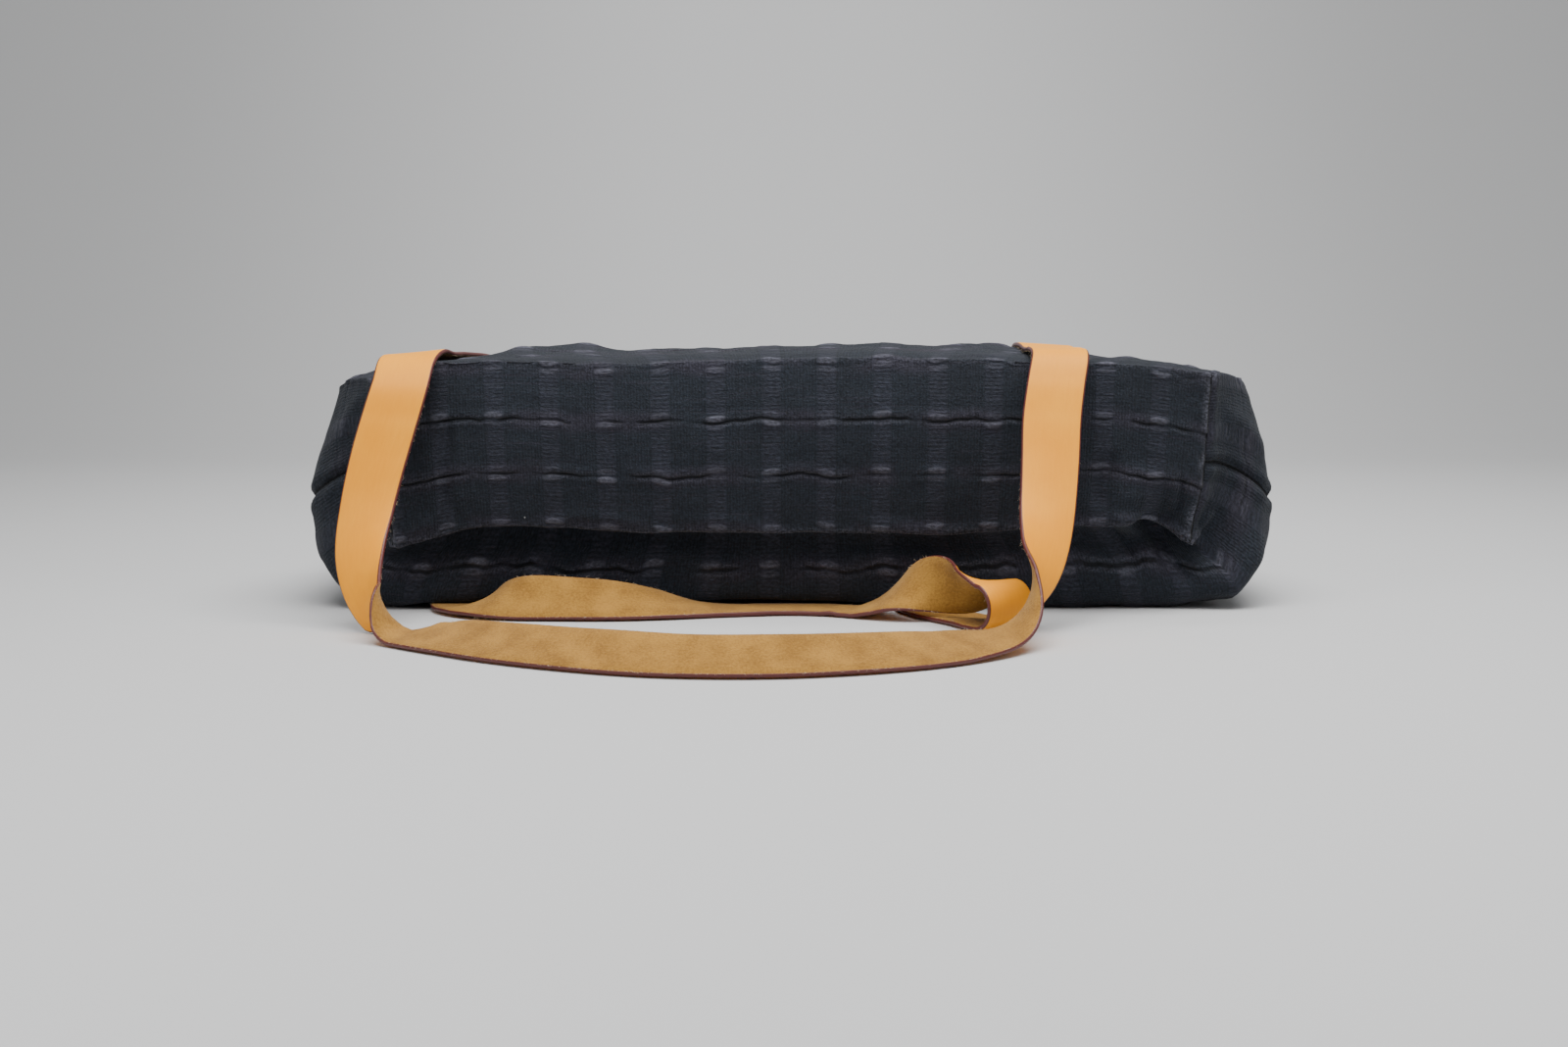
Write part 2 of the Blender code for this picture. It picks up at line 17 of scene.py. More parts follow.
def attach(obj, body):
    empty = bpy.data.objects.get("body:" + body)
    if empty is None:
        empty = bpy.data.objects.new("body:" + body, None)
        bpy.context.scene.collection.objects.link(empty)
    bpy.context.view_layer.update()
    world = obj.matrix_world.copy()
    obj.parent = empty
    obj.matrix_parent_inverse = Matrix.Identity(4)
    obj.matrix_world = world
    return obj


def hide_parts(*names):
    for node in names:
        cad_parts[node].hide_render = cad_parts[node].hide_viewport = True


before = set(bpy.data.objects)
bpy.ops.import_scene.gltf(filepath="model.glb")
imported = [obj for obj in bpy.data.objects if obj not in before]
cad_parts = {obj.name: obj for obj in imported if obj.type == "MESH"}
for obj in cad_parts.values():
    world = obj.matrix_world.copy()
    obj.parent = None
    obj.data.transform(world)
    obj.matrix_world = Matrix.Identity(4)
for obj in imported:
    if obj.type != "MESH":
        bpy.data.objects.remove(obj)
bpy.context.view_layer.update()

MM = 0.001

# Cloth body
BASE_LENGTH = 368 * MM
GUSSET = 79 * MM
BASE_LIFT = 32 * MM
BODY_HEIGHT = 275 * MM
BODY_WIDTH = 419 * MM
BODY_THICKNESS = 118 * MM
BASE_BULGE = 6 * MM
WALL = 1.6 * MM
PATCH_BACK = 0.5

# Leather handles
STRAP_WIDTH = 25 * MM
STRAP_THICKNESS = 2 * MM
HANDLE_SPACING = 236 * MM
SEWN_LENGTH = 38 * MM
LOOP_REACH = 160 * MM
UNDER_REACH = 138 * MM
CURL_RADIUS = 9.2 * MM

# Clearances
SEAT = 0.3 * MM
FLOOR_GAP = 0.4 * MM
FLOOR_REST = 0.15 * MM
CHANNEL_DEPTH = 3.2 * MM
CHANNEL_FLANK = 15 * MM
CHANNEL_MARGIN = 4 * MM
LIP_LIFT = 6.5 * MM
LIP_REACH = 34 * MM

# Lengthwise sections of the body, from the base's edge to the rim. along: share of BODY_HEIGHT,
# measured on the cloth. top_back, bottom_back: how far back, shares of BODY_HEIGHT. top, bottom:
# heights, shares of BODY_THICKNESS. width: share of BODY_WIDTH. boxy: 1 square corners, 0 pillow.
SECTIONS = (
    ("along", "top_back", "bottom_back", "top", "bottom", "width", "boxy"),
    (0.000, 0.000, 0.000, 0.941, 0.271, 0.878, 1.00),
    (0.025, 0.020, 0.028, 0.958, 0.262, 0.902, 0.93),
    (0.055, 0.048, 0.048, 0.970, 0.215, 0.940, 0.82),
    (0.090, 0.082, 0.040, 0.980, 0.130, 0.984, 0.70),
    (0.125, 0.116, 0.038, 0.988, 0.050, 1.018, 0.59),
    (0.165, 0.156, 0.060, 0.995, 0.004, 1.040, 0.47),
    (0.220, 0.210, 0.113, 1.000, 0.000, 1.050, 0.35),
    (0.300, 0.288, 0.190, 0.995, 0.000, 1.050, 0.23),
    (0.400, 0.384, 0.288, 0.950, 0.000, 1.045, 0.13),
    (0.510, 0.488, 0.396, 0.860, 0.000, 1.040, 0.06),
    (0.630, 0.600, 0.514, 0.740, 0.000, 1.042, 0.02),
    (0.750, 0.712, 0.632, 0.620, 0.000, 1.048, 0.00),
    (0.870, 0.822, 0.750, 0.510, 0.000, 1.056, 0.00),
    (1.000, 0.945, 0.880, 0.420, 0.012, 1.065, 0.00),
)

# Half of a pillow section, across and up, as shares of half the width and of the thickness.
PILLOW_TOP = (
    ("across", "up"),
    (0.00, 1.000),
    (0.30, 0.990),
    (0.58, 0.940),
    (0.78, 0.830),
    (0.91, 0.660),
    (0.98, 0.480),
    (1.00, 0.350),
)
PILLOW_BOTTOM = (
    ("across", "up"),
    (0.00, 0.000),
    (0.45, 0.000),
    (0.72, 0.000),
    (0.86, 0.045),
    (0.96, 0.165),
    (1.00, 0.350),
)

# The base panel's fold lines: how far each edge wanders from straight, as shares of GUSSET. across
# runs from the left end, -1, to the right end, 1. The lower corners are drawn in by END_DRAWN_IN, a
# share of half of BASE_LENGTH, and the edges' wandering fades out over EDGE_FADE of BODY_HEIGHT.
BASE_EDGES = (
    ("across", "lower", "upper"),
    (-1.00, -0.03, -0.10),
    (-0.92, 0.00, -0.02),
    (-0.80, 0.06, 0.00),
    (-0.40, 0.05, 0.00),
    (0.00, 0.05, 0.02),
    (0.45, 0.06, 0.01),
    (0.72, 0.10, -0.01),
    (0.88, 0.05, -0.03),
    (1.00, -0.05, -0.07),
)
END_DRAWN_IN = 0.022
EDGE_FADE = 0.16

# Dents and pinches in the cloth. across, back and up place each one, as shares of half the base's
# length, of BODY_HEIGHT and of BODY_THICKNESS. reach and push are shares of GUSSET, and the push
# is along x, y and z.
DENTS = (
    ("across", "back", "up", "reach", "push_x", "push_y", "push_z"),
    (0.88, 0.010, 0.300, 0.20, 0.00, 0.12, 0.06),
    (0.80, 0.000, 0.350, 0.16, 0.00, -0.07, 0.00),
    (1.02, 0.060, 0.250, 0.26, -0.10, 0.00, 0.04),
    (-1.02, 0.070, 0.300, 0.26, 0.10, 0.00, 0.02),
    (-0.30, 0.300, 0.980, 0.80, 0.00, 0.00, -0.05),
    (0.42, 0.420, 0.920, 0.70, 0.00, 0.00, -0.06),
    (0.05, 0.650, 0.700, 0.60, 0.00, 0.00, -0.07),
)

# The top handle's loop, from the left leg's rise over the base's edge to the right leg's. across:
# share of half of BASE_LENGTH. out: forward, share of LOOP_REACH. up: share of the height of the
# base's upper edge, on top of what the strap needs to rest on the floor. turn and tilt: where the
# strap's width points, in degrees round from +X and up from the floor.
FRONT_LOOP = (
    ("across", "out", "up", "turn", "tilt"),
    (-0.916, 0.030, 0.985, 180, 0),
    (-0.922, 0.086, 0.905, 180, 0),
    (-0.943, 0.123, 0.770, 179, 0),
    (-0.968, 0.154, 0.610, 177, 0),
    (-0.988, 0.192, 0.440, 170, 0),
    (-0.996, 0.250, 0.275, 155, -6),
    (-0.972, 0.335, 0.120, 134, -14),
    (-0.905, 0.450, 0.030, 112, -4),
    (-0.792, 0.590, 0.000, 88, 12),
    (-0.638, 0.745, 0.000, 72, 24),
    (-0.450, 0.880, 0.000, 74, 28),
    (-0.245, 0.965, 0.000, 84, 28),
    (-0.030, 0.970, 0.000, 96, 28),
    (0.180, 0.895, 0.000, 110, 25),
    (0.350, 0.765, 0.005, 120, 17),
    (0.466, 0.605, 0.050, 110, 2),
    (0.534, 0.450, 0.150, 76, -10),
    (0.568, 0.325, 0.300, 38, -6),
    (0.585, 0.240, 0.460, 15, 0),
    (0.596, 0.178, 0.620, 4, 0),
    (0.604, 0.128, 0.780, 0, 0),
    (0.618, 0.084, 0.915, 0, 0),
    (0.632, 0.030, 1.010, 0, 0),
)

# The under handle's lie in front of the bag, in the same columns, but that out is a share of
# UNDER_REACH and lift a share of STRAP_WIDTH.
UNDER_LOOP = (
    ("across", "out", "lift", "turn", "tilt"),
    (-0.812, -0.260, 0.00, 0, 0),
    (-0.817, -0.140, 0.00, 3, 0),
    (-0.806, -0.045, 0.00, 10, 0),
    (-0.765, 0.035, 0.00, 30, 14),
    (-0.675, 0.100, 0.00, 56, 36),
    (-0.540, 0.120, 0.00, 76, 38),
    (-0.425, 0.115, 0.00, 92, 33),
    (-0.315, 0.082, 0.00, 106, 21),
    (-0.210, 0.034, 0.00, 108, 5),
    (-0.110, -0.002, 0.00, 104, 0),
    (-0.010, -0.022, 0.00, 95, 0),
    (0.080, -0.005, 0.00, 84, 0),
    (0.145, 0.030, 0.01, 76, 0),
    (0.200, 0.075, 0.07, 68, 12),
    (0.250, 0.118, 0.12, 60, 34),
    (0.318, 0.165, 0.14, 50, 72),
    (0.400, 0.260, 0.18, 42, 122),
)

# Where the top handle's legs lie on the body, from the rim to the base's upper edge: back is a share
# of the way to the rim, and lift, in strap thicknesses, how far the leather stands off the cloth.
TOP_LIE = (
    ("back", "lift"),
    (0.930, 2.2),
    (0.880, 1.3),
    (0.820, 0.5),
    (0.750, 0.1),
    (0.680, 0.0),
    (0.610, 0.0),
    (0.540, 0.0),
    (0.470, 0.0),
    (0.400, 0.0),
    (0.330, 0.0),
    (0.260, 0.0),
    (0.200, 0.1),
    (0.145, 0.3),
    (0.095, 0.6),
    (0.050, 1.0),
)

# The handles' turns round the rim: how far each stands out behind, as a share of BODY_HEIGHT, where
# the sewn end stops short of the rim, and how far the leather then keeps off the cloth's edge. The
# cloth is looked at from inside the mouth at MOUTH_EYE of BODY_THICKNESS.
TOP_BEND = 0.030
UNDER_BEND = 0.018
RIM_STEP = 3.3 * MM
RIM_CLEAR = 0.9 * MM
MOUTH_EYE = 0.2

# The under handle's turn back under itself: its place, across as a share of half the base's length
# and out as a share of UNDER_REACH, and the way that its axis points, in degrees round from +X.
CURL_PLACE = (0.462, 0.345)
CURL_TURN = 37
CURL_STEPS = 8

# The under handle's way back from the curl, flat on the floor: across and back, as shares of half
# the base's length and of BODY_HEIGHT.
UNDER_RETURN = (
    ("across", "back"),
    (0.408, -0.105),
    (0.350, -0.045),
    (0.310, 0.030),
    (0.298, 0.120),
    (0.320, 0.250),
    (0.378, 0.390),
    (0.462, 0.520),
    (0.550, 0.630),
    (0.612, 0.730),
    (0.638, 0.820),
)

# Mesh fineness of the dressed bag
PANEL_COLUMNS = 240
PANEL_ROWS = 62
RING_COUNT = 114
RING_CROWDING = 1.45
INSIDE_SHARE = 2
OUTLINE_SAMPLES = 400
SAMPLES_PER_STATION = 12
LAY_STEPS = 13
LAY_REACH = 5 * MM
LAY_HALF = 0.52
LAY_ON_RIDGES = 0.4

# How the cloth gives way beneath the top handle: where the leather lies at least so level, so
# far back and so high, and how the cloth rises again beyond the leather's edge.
PRESSED_LEVEL = 0.6
PRESSED_FROM = 4 * MM
PRESSED_ABOVE = 0.3
PRESSED_EDGE = 0.5 * MM
PRESSED_FLAT = 1 * MM
PRESSED_SLOPE = 0.7

# The windowpane, in millimetres on the cloth: u runs along the base from the middle, and v up the
# base from its lower fold, on over the front panel and down the back one.
PANE = 24.4
ROW_PANE = 25.2
FIRST_COLUMN = -9.6
FIRST_ROW = 1.4
ROW_WANDER = 2.3
ROW_PUFF = 1.8
ROW_RIDGE = 0.8
ROW_GROOVE = 1.1
PAD_HALF_WIDE = 4.6
PAD_HALF_HIGH = 1.6
PAD_RISE = 1.0
COLUMN_RISE = 0.3
CREPE_RISE = 0.28
SEAM_DEPTH = 2.0
SEAM_ROLL = 0.8
SEAM_PUCKER = 0.35
SIDE_LOSS = 0.67
SIDE_FADE = 8.0
LIP_RISE = 1.1
ROLL_HEIGHT = 32 * MM
ROLL_INWARD = 15 * MM

# How strongly each row is puckered, counted from the one at the base's lower fold.
ROW_STRENGTHS = (
    ("row", "strength"),
    (-9, 0.7),
    (-2, 0.8),
    (-1, 1.0),
    (0, 0.15),
    (1, 1.0),
    (2, 1.1),
    (3, 0.1),
    (4, 0.6),
    (14, 0.7),
)

# Slow waves of the loosely filled cloth: how long, how high on the base and how high elsewhere.
SLOW_WAVES = (
    ("reach", "base_rise", "rise"),
    (78.0, 1.4, 4.2),
    (34.0, 0.9, 1.9),
    (15.0, 0.4, 0.6),
)

# Beneath the base's lower fold, along the base: how deep the cloth is drawn in just behind the fold,
# and how far it stands out again below.
UNDER_FOLD = (
    ("along", "drawn_in", "filled"),
    (-184.0, 0.0, 0.0),
    (-166.0, 4.5, 0.0),
    (-130.0, 8.0, 0.0),
    (-60.0, 8.0, 0.0),
    (10.0, 4.5, 1.5),
    (70.0, 1.5, 4.0),
    (135.0, 0.0, 4.5),
    (150.0, 0.0, 2.0),
    (184.0, 0.0, 0.0),
)
HEM_DEPTH = 21 * MM
HEM_HALF = 1.3 * MM
HEM_TURN = 4
STITCH_PITCH = 3.4 * MM
STITCH_LENGTH = 2.5 * MM
STITCH_RADIUS = 0.32 * MM
STITCH_FLOOR = 0.05 * MM

# Creases in the cloth: from and to, in millimetres of u and v, how wide each is and how far it
# stands up, or sinks where the rise is below 0.
CREASES = (
    ("from_u", "from_v", "to_u", "to_v", "wide", "rise"),
    (-152.0, 5.0, -155.0, 58.0, 2.2, -1.6),
    (-147.0, 6.0, -150.0, 52.0, 2.6, 1.0),
    (-163.0, 12.0, -168.0, 66.0, 3.0, 0.9),
    (174.5, 7.0, 175.0, 34.0, 1.5, -2.0),
    (170.0, 8.0, 171.0, 32.0, 2.4, 1.1),
    (178.5, 6.0, 178.5, 32.0, 2.0, 0.9),
    (139.0, 4.0, 138.0, 38.0, 5.0, -2.6),
    (152.0, 8.0, 153.0, 34.0, 7.0, 1.7),
    (128.0, 6.0, 127.0, 34.0, 5.0, 1.1),
    (141.0, 4.5, 158.0, 3.0, 2.2, 2.4),
    (154.0, 2.5, 184.0, 0.8, 1.9, 2.2),
    (139.5, 1.0, 141.5, -26.0, 1.7, -2.4),
    (147.0, 0.0, 151.0, -30.0, 4.2, 2.6),
    (150.0, -5.5, 183.0, -6.5, 5.0, -8.0),
    (160.0, -8.0, 168.0, -30.0, 4.0, -3.4),
    (183.0, -1.0, 203.0, -16.0, 2.2, 2.8),
    (175.0, -8.0, 203.0, -27.0, 7.0, -2.4),
    (170.0, -22.0, 208.0, -46.0, 8.0, 3.0),
    (-120.0, 2.0, -60.0, 6.5, 2.6, 1.2),
    (-56.0, 3.0, 20.0, 1.2, 2.4, 0.9),
    (20.0, 2.0, 92.0, 5.5, 2.6, 1.1),
    (-178.0, 4.0, -160.0, 9.0, 3.0, 1.6),
    (-190.0, 84.0, -210.0, 108.0, 5.0, 1.8),
    (196.0, 86.0, 214.0, 120.0, 5.0, 1.9),
    (-120.0, 110.0, -70.0, 176.0, 8.0, 1.6),
    (60.0, 120.0, 108.0, 190.0, 8.0, 1.7),
    (-30.0, 160.0, 40.0, 196.0, 9.0, -1.8),
    (-160.0, 170.0, -96.0, 240.0, 8.0, 1.8),
    (110.0, 200.0, 170.0, 262.0, 8.0, -1.7),
    (-20.0, 230.0, 34.0, 300.0, 9.0, 1.7),
    (-100.0, -18.0, -20.0, -24.0, 4.0, 1.5),
    (0.0, -26.0, 84.0, -20.0, 4.0, 1.4),
    (92.0, -14.0, 150.0, -30.0, 4.5, 1.8),
    (-160.0, -12.0, -112.0, -26.0, 4.5, 1.7),
)

# Strap profile, once round: across the width and through the thickness, as shares of each, and
# whether the face after it is grain, edge or flesh.
STRAP_PROFILE = (
    ("across", "through", "finish"),
    (-0.500, 0.10, 1),
    (-0.492, 0.32, 1),
    (-0.472, 0.46, 0),
    (-0.430, 0.50, 0),
    (-0.250, 0.51, 0),
    (0.000, 0.52, 0),
    (0.250, 0.51, 0),
    (0.430, 0.50, 0),
    (0.472, 0.46, 1),
    (0.492, 0.32, 1),
    (0.500, 0.10, 1),
    (0.500, -0.15, 1),
    (0.494, -0.36, 1),
    (0.480, -0.48, 2),
    (0.300, -0.49, 2),
    (0.100, -0.50, 2),
    (-0.100, -0.50, 2),
    (-0.300, -0.49, 2),
    (-0.480, -0.48, 1),
    (-0.494, -0.36, 1),
    (-0.500, -0.15, 1),
)

# Colours, as linear red, green and blue
CLOTH_DARK = (0.0112, 0.0146, 0.0212)
CLOTH_BAND = (0.0215, 0.0228, 0.0335)
CLOTH_MAUVE = (0.0265, 0.0225, 0.0345)
# Pale of worn cloth, also used for the painted highlights on the pads and beside the row creases
CLOTH_WORN_AND_HIGHLIGHT = (0.0950, 0.0950, 0.1200)
GRAIN_COLOUR = (0.950, 0.375, 0.014)
GRAIN_DEEP = (0.880, 0.322, 0.008)
FLESH_COLOUR = (0.405, 0.208, 0.042)
FLESH_DARK = (0.235, 0.112, 0.022)
EDGE_COLOUR = (0.105, 0.022, 0.018)
FIBRE_COLOUR = (0.620, 0.480, 0.330)
THREAD_COLOUR = (0.0140, 0.0170, 0.0250)
SWEEP_COLOUR = (0.565, 0.565, 0.565)
# Painted shade: the sweep's sides are darker, where the light falls off
SWEEP_SHADED_SIDES = (0.415, 0.415, 0.415)
EDGE_RUBBED = (0.220, 0.065, 0.040)
TAN_THREAD_COLOUR = (0.550, 0.360, 0.180)
LINT_COLOUR = (0.500, 0.500, 0.500)
WORLD_COLOUR = (0.830, 0.850, 0.880)
WORLD_STRENGTH = 0.33

# The seamless sweep, in metres from the base panel
SWEEP_FRONT = -2.4
SWEEP_BACK = 0.9
SWEEP_RADIUS = 0.9
SWEEP_TOP = 2.6
SWEEP_HALF = 3.2
SWEEP_STEPS = 12

# The cloth's threads, in millimetres, and the materials' sheen and depth of bumps
RIB_PITCH = 1.35
HATCH_PITCH = 1.85
THREAD_SWAY = 1.5
SHEEN_ROUGHNESS = 0.45
CLOTH_BUMP = 0.9 * MM
GRAIN_BUMP = 0.12 * MM
FLESH_BUMP = 0.5 * MM
EDGE_BUMP = 0.25 * MM

# The numbers at each vertex that the cloth's material reads
VERTEX_SHARES = ("wear", "row_wander", "row_sharpness", "pad_side", "pad_strength")

# Numbers that scatter the pads, and how far apart the rows' and columns' noise is read
SIDE_SEEDS = (12.9898, 78.233, 43758.5453)
STRENGTH_SEEDS = (39.346, 11.135, 24634.6345)
NOISE_APART = 40

# Stitches and fibres
STITCH_RINGS = ((-0.5, 0.35), (-0.25, 1.0), (0.25, 1.0), (0.5, 0.35))
STITCH_TURNS = 6
HEM_STITCH_PROUD = 0.10 * MM
STRAP_STITCH_PROUD = 0.06 * MM
STITCH_INSET = 3.2 * MM
STITCH_SHORT = 6 * MM
FIBRES_A_METRE = 1500
FIBRE_RINGS = ((0.0, 1.0), (0.5, 0.8), (1.0, 0.25))
FIBRE_HALF = 0.06 * MM
FIBRE_FLOOR = 0.1 * MM
TINY = 1e-9

# The camera, with its distance measured from the base panel, and the studio's lights: where each
# stands, what it faces, its two widths in metres and its power in watts.
CAMERA_LENS = 50
CAMERA_SENSOR = 36
CAMERA_FAR = 20
CAMERA_SIDE = -0.004
CAMERA_BACK = 0.955
CAMERA_HEIGHT = 0.142
CAMERA_DOWN = 6.1
STUDIO_LIGHTS = (
    ("overhead", (0.15, -0.42, 1.30), (0.0, -0.10, 0.0), (1.5, 0.8), 34.0),
    ("front_left", (-1.4, -1.2, 0.9), (0.0, -0.1, 0.05), (0.8, 0.8), 6.5),
    ("front_right", (1.4, -1.1, 0.8), (0.0, -0.1, 0.05), (0.8, 0.8), 3.8),
    ("backdrop", (0.0, 0.5, 1.9), (0.0, 1.7, 0.75), (1.0, 0.5), 15.0),
)


def table(rows):
    """A table's columns, by name."""
    names, *values = rows
    return {name: np.array(column, dtype=float) for name, column in zip(names, zip(*values))}


def smooth(at, knots, values):
    """A smooth curve through the knots, read at the places asked for."""
    at, knots, values = np.asarray(at, float), np.asarray(knots, float), np.asarray(values, float)
    slopes = np.gradient(values, knots)
    left = np.clip(np.searchsorted(knots, at, side="right") - 1, 0, len(knots) - 2)
    span = knots[left + 1] - knots[left]
    t = np.clip((at - knots[left]) / span, 0.0, 1.0)
    start = (2 * t**3 - 3 * t**2 + 1) * values[left] + (t**3 - 2 * t**2 + t) * span * slopes[left]
    end = (3 * t**2 - 2 * t**3) * values[left + 1] + (t**3 - t**2) * span * slopes[left + 1]
    return start + end


def eased(value):
    value = np.clip(value, 0.0, 1.0)
    return value * value * (3 - 2 * value)


def pillow(rows, share):
    """Across and up on a pillow outline, at a share of its length from the centre to the seam."""
    outline = table(rows)
    steps = np.arange(len(outline["across"]))
    fine = np.linspace(0, steps[-1], OUTLINE_SAMPLES)
    across, up = smooth(fine, steps, outline["across"]), smooth(fine, steps, outline["up"])
    pieces = np.hypot(np.diff(across) * BODY_WIDTH / 2, np.diff(up) * BODY_THICKNESS)
    length = np.concatenate(([0], np.cumsum(pieces)))
    length /= length[-1]
    return np.interp(share, length, across), np.interp(share, length, up)


def boxed(share, upper):
    """Across and up on a square-cornered outline, at a share of its length."""
    corner = BASE_LENGTH / (BASE_LENGTH + GUSSET)
    across = np.minimum(share / corner, 1.0)
    fall = 0.5 * np.maximum(share - corner, 0.0) / (1 - corner)
    return across, np.where(upper, 1 - fall, fall)


def body_points(side, upper, share, along):
    """Points of the body's outer face. side is -1 or 1, upper tells the front panel from the back
    one, share runs from the centre line to the side seam, and along from the base to the rim."""
    sections = table(SECTIONS)
    read = {name: smooth(along, sections["along"], sections[name]) for name in sections}
    top_across, top_up = pillow(PILLOW_TOP, share)
    low_across, low_up = pillow(PILLOW_BOTTOM, share)
    soft_across, soft_up = np.where(upper, top_across, low_across), np.where(upper, top_up, low_up)
    box_across, box_up = boxed(share, upper)
    boxy = read["boxy"]
    across = boxy * box_across + (1 - boxy) * soft_across
    up = boxy * box_up + (1 - boxy) * soft_up
    x = side * across * read["width"] * BODY_WIDTH / 2
    y = (read["bottom_back"] + (read["top_back"] - read["bottom_back"]) * up) * BODY_HEIGHT
    z = (read["bottom"] + (read["top"] - read["bottom"]) * up) * BODY_THICKNESS
    return np.stack([x, y, z], axis=-1)


def base_points(across, up):
    """Points of the base panel: across from -1 to 1, up from its lower fold to its upper one."""
    edges = table(BASE_EDGES)
    lower = smooth(across, edges["across"], edges["lower"]) * GUSSET
    upper = smooth(across, edges["across"], edges["upper"]) * GUSSET
    x = across * BASE_LENGTH / 2 * (1 - END_DRAWN_IN * (1 - up))
    y = -BASE_BULGE * (1 - across**4) * (1 - (2 * up - 1) ** 2)
    z = BASE_LIFT + lower + (GUSSET + upper - lower) * up
    return np.stack([x, y, z], axis=-1)


def dented(points):
    dents = table(DENTS)
    scale = np.array([BASE_LENGTH / 2, BODY_HEIGHT, BODY_THICKNESS])
    result = points.copy()
    for row in range(len(dents["reach"])):
        place = np.array([dents[name][row] for name in ("across", "back", "up")]) * scale
        push = np.array([dents[name][row] for name in ("push_x", "push_y", "push_z")]) * GUSSET
        near = np.linalg.norm(points - place, axis=-1) / (dents["reach"][row] * GUSSET)
        result += np.exp(-near**2)[..., None] * push
    return result


def rim_place(upper):
    """The rim's distance back where a handle goes over it."""
    return SECTIONS[-1][1 if upper else 2] * BODY_HEIGHT


def under_route():
    """The floor line of the under handle's hidden runs, as pairs of x and y."""
    loop, back = table(UNDER_LOOP), table(UNDER_RETURN)
    half = BASE_LENGTH / 2
    rear = rim_place(False) + LIP_REACH
    left = [(-HANDLE_SPACING / 2, rear)]
    left += [(across * half, -out * UNDER_REACH) for across, out in zip(loop["across"], loop["out"])]
    right = [(across * half, y * BODY_HEIGHT) for across, y in zip(back["across"], back["back"])]
    right += [(HANDLE_SPACING / 2, rear)]
    return [np.array(left), np.array(right)]


def distance_to(line, x, y):
    """The distance from points on the floor to a line of straight runs."""
    best = np.full(np.shape(x), np.inf)
    for (x0, y0), (x1, y1) in zip(line[:-1], line[1:]):
        run = np.hypot(x1 - x0, y1 - y0)
        t = np.clip(((x - x0) * (x1 - x0) + (y - y0) * (y1 - y0)) / run**2, 0, 1)
        best = np.minimum(best, np.hypot(x - x0 - t * (x1 - x0), y - y0 - t * (y1 - y0)))
    return best


def laid_over_strap(points):
    """Lifts the cloth's underside where the under handle runs beneath it."""
    reach = np.minimum(*(distance_to(line, points[..., 0], points[..., 1]) for line in under_route()))
    flat = STRAP_WIDTH / 2 + CHANNEL_MARGIN
    near_lip = eased(1 - (rim_place(False) - points[..., 1]) / LIP_REACH)
    depth = CHANNEL_DEPTH + (LIP_LIFT - CHANNEL_DEPTH) * near_lip
    raised = depth * (1 - eased((reach - flat) / CHANNEL_FLANK))
    result = points.copy()
    result[..., 2] = np.maximum(points[..., 2], raised)
    return result


def fine_rings():
    """Places of the dressed bag's rings, closer together near the base."""
    steps = np.arange(1, RING_COUNT + 1) / RING_COUNT
    return steps**RING_CROWDING


def band(near, far, around, low, high):
    """The quads between two loops of points, and the places of their corners on the cloth."""
    after = np.roll(np.arange(len(near)), -1)
    turn = around[after]
    places = ((around, low), (around, high), (turn, high), (turn, low))
    corners = np.stack([np.stack(place, axis=-1) for place in places], axis=1)
    return np.stack([near, far, far[after], near[after]], axis=-1), corners


